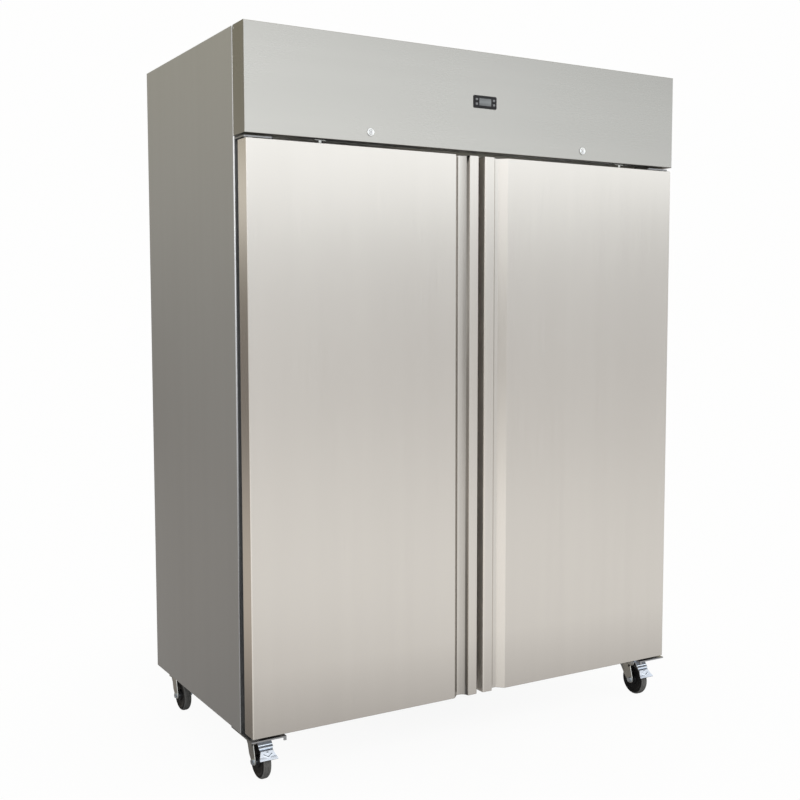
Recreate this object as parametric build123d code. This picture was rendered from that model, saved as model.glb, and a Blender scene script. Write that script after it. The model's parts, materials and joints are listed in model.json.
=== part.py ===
from build123d import *
import math
import os

# A two-door upright freezer cabinet on casters, in millimetres.
# The origin is on the floor under the middle of the cabinet, the doors face -Y and Z is up.

# Overall sizes
WIDTH = 1480.0            # across the side panels
DEPTH = 780.0             # door face to back panel
HEIGHT = 2030.0           # floor to the top edge
BODY_BOTTOM = 135.0       # floor to the underside of the body
SHEET = 1.0               # stainless and galvanised sheet
RETURN = 22.0             # folded returns of the side panels
BODY_EDGE = 4.0           # bend radius at the front of a side panel

# Insulated box
WALL = 60.0               # foam at the sides, floor and back
ROOF = 80.0               # foam over the compartment
LINER_CORNER = 16.0       # corner radius of the liner
MULLION_WIDTH = 116.0
MULLION_DEPTH = 55.0
MULLION_EDGE = 3.0

# Doors
DOOR_THICK = 55.0         # folded door shell
DOOR_STANDOFF = 78.0      # door face to the front of the body
DOOR_INSET = 3.6          # body side to the hinge edge of a door
DOOR_GAP = 20.0           # between the two doors
DOOR_TOP_GAP = 12.0       # door top to the header
DOOR_FLOOR_GAP = 6.0      # door bottom below which the hinge plate lies
DOOR_EDGE = 4.0           # bend radius at the hinge edge
DOOR_LINER = 1.5          # vacuum-formed inner panel
PLUG_DEPTH = 12.0         # raised middle of the inner panel
PLUG_INSET = 16.0         # gasket to the raised middle
PLUG_CORNER = 20.0

# Full-height handle folded into the free edge of a door
HANDLE_START = 91.0       # cabinet centre line to the end of the flat face
HANDLE_SLOPE = 20.0       # run of the sloping wall
HANDLE_FLOOR = 8.0        # flat bottom of the recess
HANDLE_DEPTH = 20.0       # depth of the recess and radius of its scoop
LIP_ROUND = 6.0           # rolled outer corner of the grip

# Gasket
GASKET_INSET = 24.0       # door edge to the gasket
GASKET_BULB = 18.0
GASKET_BASE = 12.0
GASKET_BASE_DEPTH = 8.0

# Hinges
PIVOT_INSET = 18.0        # door edge to the pivot
PIVOT_DEPTH = 27.0        # door face to the pivot
HINGE_PIN = 5.0           # radius
HINGE_RUN = 0.05          # running clearance on the radius
BUSH_RADIUS = 9.0
BUSH_FLANGE = 12.0
BUSH_LENGTH = 18.0
HINGE_PLATE = 4.0         # zinc-plated steel plate
HINGE_PLATE_WIDTH = 102.0
LOWER_PLATE_DEPTH = 145.0
UPPER_PLATE_WIDTH = 84.0
UPPER_PLATE_LIFT = 3.6    # door top to the upper hinge plate
STOP_TAB = 8.0            # bent-down tab at the inner front corner
JOINT_GAP = 0.3           # between faces that move past one another

# Header panel with the controller and the locks
FASCIA_HEIGHT = 284.0
FASCIA_RETURN = 75.0      # depth of the end returns
FASCIA_LIP = 45.0         # depth of the bottom return
FASCIA_EDGE = 2.0
FASCIA_PIVOT = 9.0        # in from the top and the back edge
FASCIA_PIN = 3.0
FASCIA_ARM = 2.0
FASCIA_ARM_LENGTH = 50.0
FASCIA_ARM_FOOT = 18.0
CONTROL_X = 8.0
CONTROL_WIDTH = 80.0
CONTROL_HEIGHT = 36.0
CONTROL_BEZEL = 2.5
CONTROL_CASE_WIDTH = 70.0
CONTROL_CASE_HEIGHT = 28.0
CONTROL_CASE_DEPTH = 52.0
WINDOW_WIDTH = 42.0
WINDOW_HEIGHT = 21.0
WINDOW_DEPTH = 1.4
KEY_WIDTH = 8.0
KEY_HEIGHT = 6.5
KEY_SPREAD = 30.0         # controller middle to the key columns
KEY_RISE = 6.5            # controller middle to the key rows
KEY_PROUD = 0.9
KEY_LENGTH = 3.6
KEY_TRAVEL = 0.6
LOCK_X = 370.0
LOCK_RISE = 28.0          # header bottom to the lock axis
LOCK_FLANGE = 11.0
LOCK_FLANGE_THICK = 2.5
LOCK_BARREL = 9.0
LOCK_BARREL_LENGTH = 18.0
LOCK_PLUG = 6.5
LOCK_CAM_THICK = 2.5
LOCK_CAM_WIDTH = 12.0
LOCK_BITE = 9.0           # cam into the top of the door
LOCK_ROOM = 4.0           # free space round the cam in its slots
KEYHOLE_WIDTH = 1.8
KEYHOLE_HEIGHT = 8.0
KEYHOLE_DEPTH = 3.0

# Machine deck and condensing unit
DECK_STEP = 10.0          # header bottom to the deck
COIL_SHARE = 0.223        # of the width, from the middle to the left
COIL_LENGTH = 380.0
COIL_DEPTH = 60.0
COIL_HEIGHT = 220.0
COIL_SETBACK = 40.0       # body front to the coil
COIL_FINS = 24
COIL_SPINE = 14.0
SHROUD_THICK = 2.0
FAN_RADIUS = 92.0
FAN_TIP_GAP = 6.0
FAN_HUB = 26.0
FAN_DEPTH = 16.0
FAN_BLADES = 5
FAN_SETBACK = 6.0         # shroud to the fan
FAN_SHAFT = 4.0
FAN_SHAFT_RUN = 0.05
FAN_STAND = 14.0          # fan hub to its motor
HUB_CAP = 3.0             # closed front of a fan hub
SHAFT_END_GAP = 0.5
MOTOR_RADIUS = 38.0
MOTOR_LENGTH = 62.0
MOTOR_ARM = 12.0
COMPRESSOR_SHARE = 0.1014 # of the width, from the middle to the right
COMPRESSOR_RADIUS = 88.0
COMPRESSOR_HEIGHT = 196.0
COMPRESSOR_FEET = 105.0
COMPRESSOR_FOOT = 18.0
COMPRESSOR_STUB = 24.0
COMPRESSOR_RIM = 6.0
COMPRESSOR_PAD = 11.0
COMPRESSOR_PAD_INSET = 18.0
COMPRESSOR_BASE = 4.0
PIPE_RADIUS = 5.0
PIPE_BEND = 20.0
DRIER_RADIUS = 14.0
DRIER_LENGTH = 80.0
BOX_SHARE = 0.3514        # of the width, from the middle to the right
BOX_WIDTH = 220.0
BOX_DEPTH = 130.0
BOX_HEIGHT = 120.0
GRILLE_COLUMNS = 6
GRILLE_ROWS = 8
GRILLE_SLOT = 9.0
GRILLE_MARGIN = 40.0

# Evaporator under the roof of the compartment
EVAP_WIDTH = 1000.0
EVAP_DEPTH = 300.0
EVAP_HEIGHT = 150.0
EVAP_BACK_GAP = 30.0
EVAP_SHEET = 1.2
EVAP_CHAMFER = 10.0
EVAP_FAN_SHARE = 0.23     # of the cover width, from the middle
EVAP_FAN_RADIUS = 58.0
EVAP_FAN_GAP = 5.0
EVAP_HUB = 18.0
EVAP_FAN_DEPTH = 10.0
EVAP_MOTOR_RADIUS = 24.0
EVAP_MOTOR_LENGTH = 40.0
EVAP_COIL_DEPTH = 130.0
EVAP_COIL_HEIGHT = 110.0
EVAP_FINS = 20
EVAP_SLOTS = 9
EVAP_MARGIN = 60.0        # end of the cover to the slots and the coil
EVAP_SLOT_DEPTH = 40.0
EVAP_COIL_GAP = 10.0      # coil to the back of the cover
EVAP_SPINE = 30.0

# Shelves, three in each half
SHELF_COUNT = 3
SHELF_BACK_GAP = 35.0     # back of the shelves to the liner
SHELF_WIRE = 5.0          # square bars of the shelves
SHELF_BARS = 16
SHELF_PLAY = 3.0          # shelf edge to the runner
SHELF_SETBACK = 22.0      # back of the mullion post to the shelf
UPRIGHT_WIDTH = 26.0
UPRIGHT_DEPTH = 12.0
UPRIGHT_WALL = 1.5
UPRIGHT_SLOTS = 12
SLOT_WIDTH = 9.0
SLOT_HEIGHT = 22.0
RUNNER_WIDTH = 26.0
RUNNER_HEIGHT = 20.0
RUNNER_THICK = 1.5

# Casters
WHEEL_RADIUS = 50.0
WHEEL_WIDTH = 25.0
WHEEL_SHOULDER = 5.0
HUB_RADIUS = 17.0
HUB_WIDTH = 28.0
SPACER_RADIUS = 9.0       # rings that hold the hub clear of the legs
SPACER_WIDTH = 39.0       # over both rings
TYRE_STEP = 1.5           # depth of the dished side inside the tyre
TYRE_WALL = 14.0
AXLE_RADIUS = 5.0
AXLE_RUN = 0.05
AXLE_HEAD = 8.0
AXLE_HEAD_THICK = 5.5
CASTER_TRAIL = 32.0       # swivel axis to the axle
CASTER_INSET = 57.0       # side panel to the swivel axis
FRONT_SWIVEL = 105.0      # door face to the front swivel axis
REAR_SWIVEL = 48.0        # back panel to the rear swivel axis
CASTER_PLATE = 92.0
CASTER_PLATE_THICK = 3.0
RACE_RADIUS = 30.0
RACE_HEIGHT = 10.0
KING_RADIUS = 6.0
KING_HEAD = 10.0
KING_HEAD_THICK = 2.5
SWIVEL_RUN = 0.05
CROWN_RADIUS = 33.0
CROWN_HEIGHT = 13.0
CROWN_TAPER = 4.0
LEG_THICK = 3.0
LEG_GAP = 0.5             # spacer to a leg
LEG_TOP = 60.0            # length of the leg under the crown
LEG_EYE = 11.0            # radius of the leg round the axle
PEDAL_PIN = 3.0
PEDAL_BOSS = 5.0
PEDAL_FORWARD = 40.0      # swivel axis to the pedal pivot
PEDAL_LIFT = 9.0          # wheel top to the pedal pivot
PEDAL_SHEET = 2.5
PEDAL_STEP = 20.0
PEDAL_KNEE = 4.0          # how far the drop behind the step leans forward
PEDAL_WIDTH = 40.0
PEDAL_FLARE = 54.0
PEDAL_REACH = 48.0
PEDAL_DROP = 41.0

# Levels and planes that follow from the sizes
FRONT = -DEPTH / 2
BACK = DEPTH / 2
SIDE = WIDTH / 2
CASTER_X = SIDE - CASTER_INSET
COIL_X = -COIL_SHARE * WIDTH
COMPRESSOR_X = COMPRESSOR_SHARE * WIDTH
BOX_X = BOX_SHARE * WIDTH
EVAP_FAN_X = EVAP_FAN_SHARE * EVAP_WIDTH
BODY_FRONT = FRONT + DOOR_STANDOFF
FASCIA_BOTTOM = HEIGHT - FASCIA_HEIGHT
DECK = FASCIA_BOTTOM + DECK_STEP
DECK_TOP = DECK + SHEET
DOOR_TOP = FASCIA_BOTTOM - DOOR_TOP_GAP
DOOR_BOTTOM = BODY_BOTTOM + DOOR_FLOOR_GAP
DOOR_FREE = DOOR_GAP / 2
DOOR_HINGE_EDGE = SIDE - DOOR_INSET
ROOM_X = SIDE - WALL
ROOM_FLOOR = BODY_BOTTOM + WALL
ROOM_TOP = DECK - ROOF
ROOM_BACK = BACK - WALL
PIVOT_X = DOOR_HINGE_EDGE - PIVOT_INSET
PIVOT_Y = FRONT + PIVOT_DEPTH
CASTER_TOP = BODY_BOTTOM - HINGE_PLATE


def block(x0, x1, y0, y1, z0, z1):
    middle = Pos((x0 + x1) / 2, (y0 + y1) / 2, (z0 + z1) / 2)
    return middle * Box(x1 - x0, y1 - y0, z1 - z0)


def shape_of(points):
    return make_face(Polyline(*points, close=True))


def band(points, thickness):
    """Sheet of one thickness on the left of a bent line, with mitred corners."""
    line = [Vector(*p) for p in points]
    runs = [(b - a).normalized() for a, b in zip(line, line[1:])]
    far = []
    for here, first, second in zip(line, runs[:1] + runs, runs + runs[-1:]):
        normal = Vector(-first.Y, first.X)
        middle = (normal + Vector(-second.Y, second.X)).normalized()
        corner = here + middle * (thickness / middle.dot(normal))
        far.append((corner.X, corner.Y))
    return shape_of(list(points) + far[::-1])


def along_x(face, x0, x1):
    """Extrude a face drawn in Y and Z."""
    plane = Plane(origin=(x0, 0, 0), x_dir=(0, 1, 0), z_dir=(1, 0, 0))
    return extrude(plane * face, amount=x1 - x0)


def along_y(face, y0, y1):
    """Extrude a face drawn in X and Z."""
    plane = Plane(origin=(0, y1, 0), x_dir=(1, 0, 0), z_dir=(0, -1, 0))
    return extrude(plane * face, amount=y1 - y0)


def along_z(face, z0, z1):
    """Extrude a face drawn in X and Y."""
    return extrude(Plane.XY.offset(z0) * face, amount=z1 - z0)


def rod_x(y, z, radius, x0, x1):
    return along_x(Pos(y, z) * Circle(radius), x0, x1)


def rod_y(x, z, radius, y0, y1):
    return along_y(Pos(x, z) * Circle(radius), y0, y1)


def rod_z(x, y, radius, z0, z1):
    return along_z(Pos(x, y) * Circle(radius), z0, z1)


def turned(profile, x, y):
    """Revolve a profile of radius and height about the upright line through x, y."""
    return Pos(x, y, 0) * revolve(Plane.XZ * shape_of(profile), axis=Axis.Z)


def mirrored(shape):
    return mirror(shape, about=Plane.YZ)


def save(name, *shapes):
    solids = []
    for shape in shapes:
        solids.extend(shape.solids())
    whole = solids[0] if len(solids) == 1 else Compound(solids)
    export_step(whole, f"parts/{name}.step")


# Cabinet shell


def side_panel():
    """Right side panel: a shallow tray folded from one sheet."""
    inner = SIDE - RETURN
    outside = block(inner, SIDE, BODY_FRONT, BACK, BODY_BOTTOM, HEIGHT)
    bend = outside.edges().filter_by(Axis.Z).sort_by(Axis.X)[-2:].sort_by(Axis.Y)[0]
    outside = fillet(bend, BODY_EDGE)
    hollow = block(
        inner - 1, SIDE - SHEET, BODY_FRONT + SHEET, BACK - SHEET, BODY_BOTTOM + SHEET, HEIGHT - SHEET
    )
    bend = hollow.edges().filter_by(Axis.Z).sort_by(Axis.X)[-2:].sort_by(Axis.Y)[0]
    hollow = fillet(bend, BODY_EDGE - SHEET)
    return outside - hollow


def opening_face(grow):
    width = 2 * (ROOM_X + grow)
    height = ROOM_TOP - ROOM_FLOOR + 2 * grow
    return Pos(0, (ROOM_TOP + ROOM_FLOOR) / 2) * RectangleRounded(width, height, LINER_CORNER + grow)


def insulation():
    outside = block(
        -SIDE + SHEET, SIDE - SHEET, BODY_FRONT + SHEET, BACK - SHEET, BODY_BOTTOM + SHEET, DECK
    )
    bends = outside.edges().filter_by(Axis.Z).sort_by(Axis.Y)[:2]
    outside = fillet(bends, BODY_EDGE - SHEET)
    return outside - along_y(opening_face(SHEET), BODY_FRONT, ROOM_BACK + SHEET)


def inner_liner():
    outside = along_y(opening_face(SHEET), BODY_FRONT + SHEET, ROOM_BACK + SHEET)
    return outside - along_y(opening_face(0), BODY_FRONT, ROOM_BACK)


def front_frame():
    inner = SIDE - RETURN
    plate = block(-inner, inner, BODY_FRONT, BODY_FRONT + SHEET, BODY_BOTTOM, DECK)
    return plate - along_y(opening_face(0), BODY_FRONT - 1, BODY_FRONT + SHEET + 1)


def centre_mullion():
    half = MULLION_WIDTH / 2
    post = block(-half, half, BODY_FRONT, BODY_FRONT + MULLION_DEPTH, ROOM_FLOOR, ROOM_TOP)
    edges = post.edges().filter_by(Axis.Z)
    return fillet(edges, MULLION_EDGE)


def rear_grille():
    inner = SIDE - RETURN
    plate = block(-inner, inner, BACK - SHEET, BACK, DECK, HEIGHT)
    pitch_x = (2 * inner - 2 * GRILLE_MARGIN) / GRILLE_COLUMNS
    pitch_z = (HEIGHT - DECK - 2 * GRILLE_MARGIN) / GRILLE_ROWS
    slot = Rectangle(0.8 * pitch_x, GRILLE_SLOT)
    for column in range(GRILLE_COLUMNS):
        for row in range(GRILLE_ROWS):
            x = -inner + GRILLE_MARGIN + (column + 0.5) * pitch_x
            z = DECK + GRILLE_MARGIN + (row + 0.5) * pitch_z
            plate -= along_y(Pos(x, z) * slot, BACK - SHEET - 1, BACK + 1)
    return plate


def base_panel():
    """Floor sheet with a welded pad over each rear caster, as thick as the hinge plates in front."""
    inner = SIDE - RETURN
    panel = block(-inner, inner, BODY_FRONT + SHEET, BACK - SHEET, BODY_BOTTOM, BODY_BOTTOM + SHEET)
    pad = along_z(RectangleRounded(CASTER_PLATE, CASTER_PLATE, 8), CASTER_TOP, BODY_BOTTOM)
    for sign in (-1, 1):
        panel += Pos(sign * CASTER_X, BACK - REAR_SWIVEL, 0) * pad
    return panel


inner_x = SIDE - RETURN
right_side = side_panel()
back = block(-inner_x, inner_x, BACK - SHEET, BACK, BODY_BOTTOM, DECK)
base = base_panel()
deck = block(-SIDE + SHEET, SIDE - SHEET, BODY_FRONT + SHEET, BACK - SHEET, DECK, DECK_TOP)
deck = fillet(deck.edges().filter_by(Axis.Z).sort_by(Axis.Y)[:2], BODY_EDGE - SHEET)

# Shelf uprights, runners and wire shelves

EVAP_BOTTOM = ROOM_TOP - EVAP_HEIGHT
POST_BACK = BODY_FRONT + MULLION_DEPTH
SHELF_FRONT = POST_BACK + UPRIGHT_DEPTH + SHELF_SETBACK
SHELF_BACK = ROOM_BACK - SHELF_BACK_GAP
UPRIGHT_TOP = EVAP_BOTTOM - 40
UPRIGHT_FOOT = ROOM_FLOOR + LINER_CORNER + 4
BAY_OUTER = ROOM_X - UPRIGHT_DEPTH
BAY_INNER = UPRIGHT_WIDTH / 2
SHELF_STEP = (EVAP_BOTTOM - ROOM_FLOOR) / (SHELF_COUNT + 1)
FRONT_UPRIGHT = SHELF_FRONT + 40


def upright():
    """A slotted channel with its open side on X = 0, its front toward +X and its middle at Y = 0."""
    half = UPRIGHT_WIDTH / 2
    channel = block(0, UPRIGHT_DEPTH, -half, half, UPRIGHT_FOOT, UPRIGHT_TOP)
    inside = half - UPRIGHT_WALL
    channel -= block(-1, UPRIGHT_DEPTH - UPRIGHT_WALL, -inside, inside, UPRIGHT_FOOT - 1, UPRIGHT_TOP + 1)
    pitch = (UPRIGHT_TOP - UPRIGHT_FOOT) / UPRIGHT_SLOTS
    for step in range(UPRIGHT_SLOTS):
        z = UPRIGHT_FOOT + (step + 0.5) * pitch
        channel -= block(
            UPRIGHT_DEPTH / 2, UPRIGHT_DEPTH + 1,
            -SLOT_WIDTH / 2, SLOT_WIDTH / 2, z - SLOT_HEIGHT / 2, z + SLOT_HEIGHT / 2,
        )
    return channel


def uprights():
    channel = upright()
    rear = min(SHELF_BACK - 40, ROOM_BACK - UPRIGHT_WIDTH)
    return [
        Pos(-ROOM_X, FRONT_UPRIGHT, 0) * channel,
        Pos(-ROOM_X, rear, 0) * channel,
        Pos(ROOM_X, FRONT_UPRIGHT, 0) * Rot(0, 0, 180) * channel,
        Pos(ROOM_X, rear, 0) * Rot(0, 0, 180) * channel,
        Pos(0, POST_BACK, 0) * Rot(0, 0, 90) * channel,
        Pos(0, ROOM_BACK, 0) * Rot(0, 0, -90) * channel,
    ]


def runner():
    """An angle under the outer edge of a right-hand shelf, its top edge at Z = 0."""
    y0 = POST_BACK + UPRIGHT_DEPTH
    y1 = ROOM_BACK - UPRIGHT_DEPTH
    profile = shape_of([
        (BAY_OUTER, 0),
        (BAY_OUTER, -RUNNER_HEIGHT),
        (BAY_OUTER - RUNNER_WIDTH, -RUNNER_HEIGHT),
        (BAY_OUTER - RUNNER_WIDTH, -RUNNER_HEIGHT + RUNNER_THICK),
        (BAY_OUTER - RUNNER_THICK, -RUNNER_HEIGHT + RUNNER_THICK),
        (BAY_OUTER - RUNNER_THICK, 0),
    ])
    return along_y(profile, y0, y1)


def inner_runner():
    """The same angle on the middle uprights."""
    return Pos(BAY_OUTER + BAY_INNER, 0, 0) * mirrored(runner())


def wire_shelf():
    """One right-hand shelf standing on Z = 0: a welded grid of bars, with two rods across under it."""
    x0 = BAY_INNER + RUNNER_THICK + SHELF_PLAY
    x1 = BAY_OUTER - RUNNER_THICK - SHELF_PLAY
    y0 = SHELF_FRONT
    y1 = SHELF_BACK
    grid = block(x0, x1, y0, y1, 0, SHELF_WIRE)
    pitch = (x1 - x0 - SHELF_WIRE) / (SHELF_BARS - 1)
    for step in range(SHELF_BARS - 1):
        left = x0 + SHELF_WIRE + step * pitch
        grid -= block(left, left + pitch - SHELF_WIRE, y0 + SHELF_WIRE, y1 - SHELF_WIRE, -1, SHELF_WIRE + 1)
    clear = RUNNER_WIDTH + SHELF_PLAY
    rods = []
    for y in ((2 * y0 + y1) / 3, (y0 + 2 * y1) / 3):
        rods.append(block(x0 + clear, x1 - clear, y, y + SHELF_WIRE, -SHELF_WIRE, 0))
    return [grid] + rods


def shelf_levels():
    return [ROOM_FLOOR + (step + 1) * SHELF_STEP for step in range(SHELF_COUNT)]


# Evaporator

EVAP_BACK = ROOM_BACK - EVAP_BACK_GAP
EVAP_FRONT = EVAP_BACK - EVAP_DEPTH
EVAP_FAN_Z = EVAP_BOTTOM + EVAP_HEIGHT / 2
EVAP_HOLE = EVAP_FAN_RADIUS + EVAP_FAN_GAP


def evaporator_cover():
    half = EVAP_WIDTH / 2
    cover = block(-half, half, EVAP_FRONT, EVAP_BACK, EVAP_BOTTOM, ROOM_TOP)
    lower = cover.edges().filter_by(Axis.X).sort_by(Axis.Z)[:2]
    cover = chamfer(lower, EVAP_CHAMFER)
    inside = block(
        -half + EVAP_SHEET, half - EVAP_SHEET,
        EVAP_FRONT + EVAP_SHEET, EVAP_BACK - EVAP_SHEET, EVAP_BOTTOM + EVAP_SHEET, ROOM_TOP + 1,
    )
    lower = inside.edges().filter_by(Axis.X).sort_by(Axis.Z)[:2]
    cover -= chamfer(lower, EVAP_CHAMFER)
    for x in (-EVAP_FAN_X, EVAP_FAN_X):
        cover -= rod_y(x, EVAP_FAN_Z, EVAP_HOLE, EVAP_FRONT - 1, EVAP_FRONT + EVAP_SHEET + 1)
    pitch = (EVAP_WIDTH - 2 * EVAP_MARGIN) / EVAP_SLOTS
    for step in range(EVAP_SLOTS):
        x = -half + EVAP_MARGIN + (step + 0.5) * pitch
        cover -= block(
            x - 0.4 * pitch, x + 0.4 * pitch,
            EVAP_BACK - EVAP_MARGIN - EVAP_SLOT_DEPTH, EVAP_BACK - EVAP_MARGIN,
            EVAP_BOTTOM - 1, EVAP_BOTTOM + EVAP_SHEET + 1,
        )
    return cover


def finned_block(x0, x1, y0, y1, z0, z1, fins, spine):
    """A coil block: upright fins on a common spine, drawn as one comb."""
    pitch = (x1 - x0) / (2 * fins - 1)
    points = [(x0, y1), (x0, y0)]
    for fin in range(fins):
        left = x0 + 2 * fin * pitch
        if fin:
            points.append((left, y1 - spine))
            points.append((left, y0))
        points.append((left + pitch, y0))
        if fin < fins - 1:
            points.append((left + pitch, y1 - spine))
    points.append((x1, y1))
    return along_z(shape_of(points), z0, z1)


def evaporator_coil():
    half = EVAP_WIDTH / 2 - EVAP_MARGIN
    y1 = EVAP_BACK - EVAP_SHEET - EVAP_COIL_GAP
    return finned_block(
        -half, half, y1 - EVAP_COIL_DEPTH, y1, ROOM_TOP - EVAP_COIL_HEIGHT, ROOM_TOP, EVAP_FINS, EVAP_SPINE
    )


def blade_set(radius, hub, depth, blades, shaft):
    """A fan turning about Y, its hub centred on the origin."""
    wheel = rod_y(0, 0, hub, -depth / 2, depth / 2)
    outline = shape_of([
        (0.7 * hub, -0.45 * hub), (0.6 * radius, -0.30 * radius), (0.96 * radius, -0.20 * radius),
        (0.98 * radius, 0.12 * radius), (0.55 * radius, 0.16 * radius), (0.7 * hub, 0.45 * hub),
    ])
    blade = along_y(outline, -0.8, 0.8)
    for step in range(blades):
        wheel += Rot(0, 360 / blades * step, 0) * Rot(24, 0, 0) * blade
    return wheel - rod_y(0, 0, shaft, HUB_CAP - depth / 2, depth)


def fan_motor(radius, length, shaft, tip, reach, hole, arms):
    """A motor behind a fan, its front on Y = 0, its shaft out to tip and its arms out to the wall at reach."""
    motor = rod_y(0, 0, radius, 0, length)
    rim = motor.edges().filter_by(GeomType.CIRCLE)
    motor = chamfer(rim, 0.12 * radius)
    motor += rod_y(0, 0, shaft, tip, 1)
    for step in range(arms):
        arm = block(0.7 * radius, hole + 8, 8, 8 + 2, -MOTOR_ARM / 2, MOTOR_ARM / 2)
        foot = block(hole + 1, hole + 8, reach, 10, -MOTOR_ARM / 2, MOTOR_ARM / 2)
        motor += Rot(0, 360 / arms * step + 45, 0) * (arm + foot)
    return motor


def shaft_tip(depth):
    """End of a motor shaft inside a fan hub of this depth, from the front of the motor."""
    return HUB_CAP + SHAFT_END_GAP - FAN_STAND - depth


# Condensing unit

COIL_FRONT = BODY_FRONT + COIL_SETBACK
COIL_BACK = COIL_FRONT + COIL_DEPTH
COIL_Z = DECK_TOP + COIL_HEIGHT / 2
FAN_Y = COIL_BACK + SHROUD_THICK + FAN_SETBACK + FAN_DEPTH / 2
FAN_HOLE = FAN_RADIUS + FAN_TIP_GAP
COMPRESSOR_Y = (BODY_FRONT + BACK) / 2
DISCHARGE_Z = DECK_TOP + 0.72 * COMPRESSOR_HEIGHT
SUCTION_Z = DECK_TOP + 0.40 * COMPRESSOR_HEIGHT
LIQUID_Z = DECK_TOP + 40
COIL_END = COIL_X + COIL_LENGTH / 2


def condenser_coil():
    x0 = COIL_X - COIL_LENGTH / 2
    top = DECK_TOP + COIL_HEIGHT
    return finned_block(x0, COIL_END, COIL_FRONT, COIL_BACK, DECK_TOP, top, COIL_FINS, COIL_SPINE)


def condenser_shroud():
    x0 = COIL_X - COIL_LENGTH / 2
    plate = block(x0, COIL_END, COIL_BACK, COIL_BACK + SHROUD_THICK, DECK_TOP, DECK_TOP + COIL_HEIGHT)
    ring = rod_y(COIL_X, COIL_Z, FAN_HOLE + SHROUD_THICK, COIL_BACK, COIL_BACK + FAN_SETBACK + FAN_DEPTH)
    ring -= rod_y(COIL_X, COIL_Z, FAN_HOLE, COIL_BACK - 1, COIL_BACK + 2 * FAN_DEPTH + FAN_SETBACK)
    hole = rod_y(COIL_X, COIL_Z, FAN_HOLE, COIL_BACK - 1, COIL_BACK + SHROUD_THICK + 1)
    return plate - hole + ring


def compressor():
    r = COMPRESSOR_RADIUS
    foot = DECK_TOP + COMPRESSOR_FOOT
    top = DECK_TOP + COMPRESSOR_HEIGHT
    rise = top - foot
    seam = foot + 0.48 * rise
    pot = turned([
        (0, foot), (0.72 * r, foot), (r, foot + 0.15 * rise), (r, seam), (1.05 * r, seam),
        (1.05 * r, seam + COMPRESSOR_RIM), (0.96 * r, seam + COMPRESSOR_RIM), (0.92 * r, top - 0.15 * rise),
        (0.6 * r, top), (0, top),
    ], COMPRESSOR_X, COMPRESSOR_Y)
    half = COMPRESSOR_FEET
    plate = Pos(COMPRESSOR_X, COMPRESSOR_Y, foot) * extrude(Rectangle(2 * half, 2 * half), amount=COMPRESSOR_BASE)
    pot += plate
    pads = half - COMPRESSOR_PAD_INSET
    for x in (-pads, pads):
        for y in (-pads, pads):
            pot += rod_z(COMPRESSOR_X + x, COMPRESSOR_Y + y, COMPRESSOR_PAD, DECK_TOP, foot + 1)
    reach = r + COMPRESSOR_STUB
    pot += rod_x(COMPRESSOR_Y, DISCHARGE_Z, 1.5 * PIPE_RADIUS, COMPRESSOR_X - reach, COMPRESSOR_X)
    pot += rod_x(COMPRESSOR_Y, SUCTION_Z, 1.5 * PIPE_RADIUS, COMPRESSOR_X, COMPRESSOR_X + reach)
    return pot


def pipe(*points):
    path = FilletPolyline(*points, radius=PIPE_BEND)
    ring = Plane(origin=path @ 0, z_dir=path % 0) * Circle(PIPE_RADIUS)
    return sweep(ring, path=path)


def pipework():
    reach = COMPRESSOR_RADIUS + COMPRESSOR_STUB
    start = COMPRESSOR_X - reach
    coil_y = COIL_BACK - COIL_SPINE / 2
    turn = (start + COIL_END) / 2
    discharge = pipe(
        (start, COMPRESSOR_Y, DISCHARGE_Z), (turn, COMPRESSOR_Y, DISCHARGE_Z),
        (turn, coil_y, DISCHARGE_Z), (COIL_END, coil_y, DISCHARGE_Z),
    )
    out = COMPRESSOR_X + reach
    suction = pipe(
        (out, COMPRESSOR_Y, SUCTION_Z), (out + 40, COMPRESSOR_Y, SUCTION_Z), (out + 40, COMPRESSOR_Y, DECK_TOP)
    )
    drier_end = COIL_END + 20 + DRIER_LENGTH
    liquid = pipe(
        (COIL_END, coil_y, LIQUID_Z), (drier_end + 30, coil_y, LIQUID_Z), (drier_end + 30, coil_y, DECK_TOP)
    )
    drier = rod_x(coil_y, LIQUID_Z, DRIER_RADIUS, COIL_END + 20, drier_end)
    liquid += chamfer(drier.edges().filter_by(GeomType.CIRCLE), 0.4 * DRIER_RADIUS)
    return discharge, suction, liquid


def electrics_box():
    x0 = BOX_X - BOX_WIDTH / 2
    y0 = COMPRESSOR_Y - BOX_DEPTH / 2
    case = block(x0, x0 + BOX_WIDTH, y0, y0 + BOX_DEPTH, DECK_TOP, DECK_TOP + BOX_HEIGHT)
    case = fillet(case.edges().filter_by(Axis.Z), 8)
    lid = DECK_TOP + 0.75 * BOX_HEIGHT
    groove = block(x0 - 1, x0 + BOX_WIDTH + 1, y0 - 1, y0 + BOX_DEPTH + 1, lid, lid + 2)
    keep = block(x0 + 2, x0 + BOX_WIDTH - 2, y0 + 2, y0 + BOX_DEPTH - 2, lid - 1, lid + 3)
    case -= groove - keep
    return case


# Doors


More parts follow.
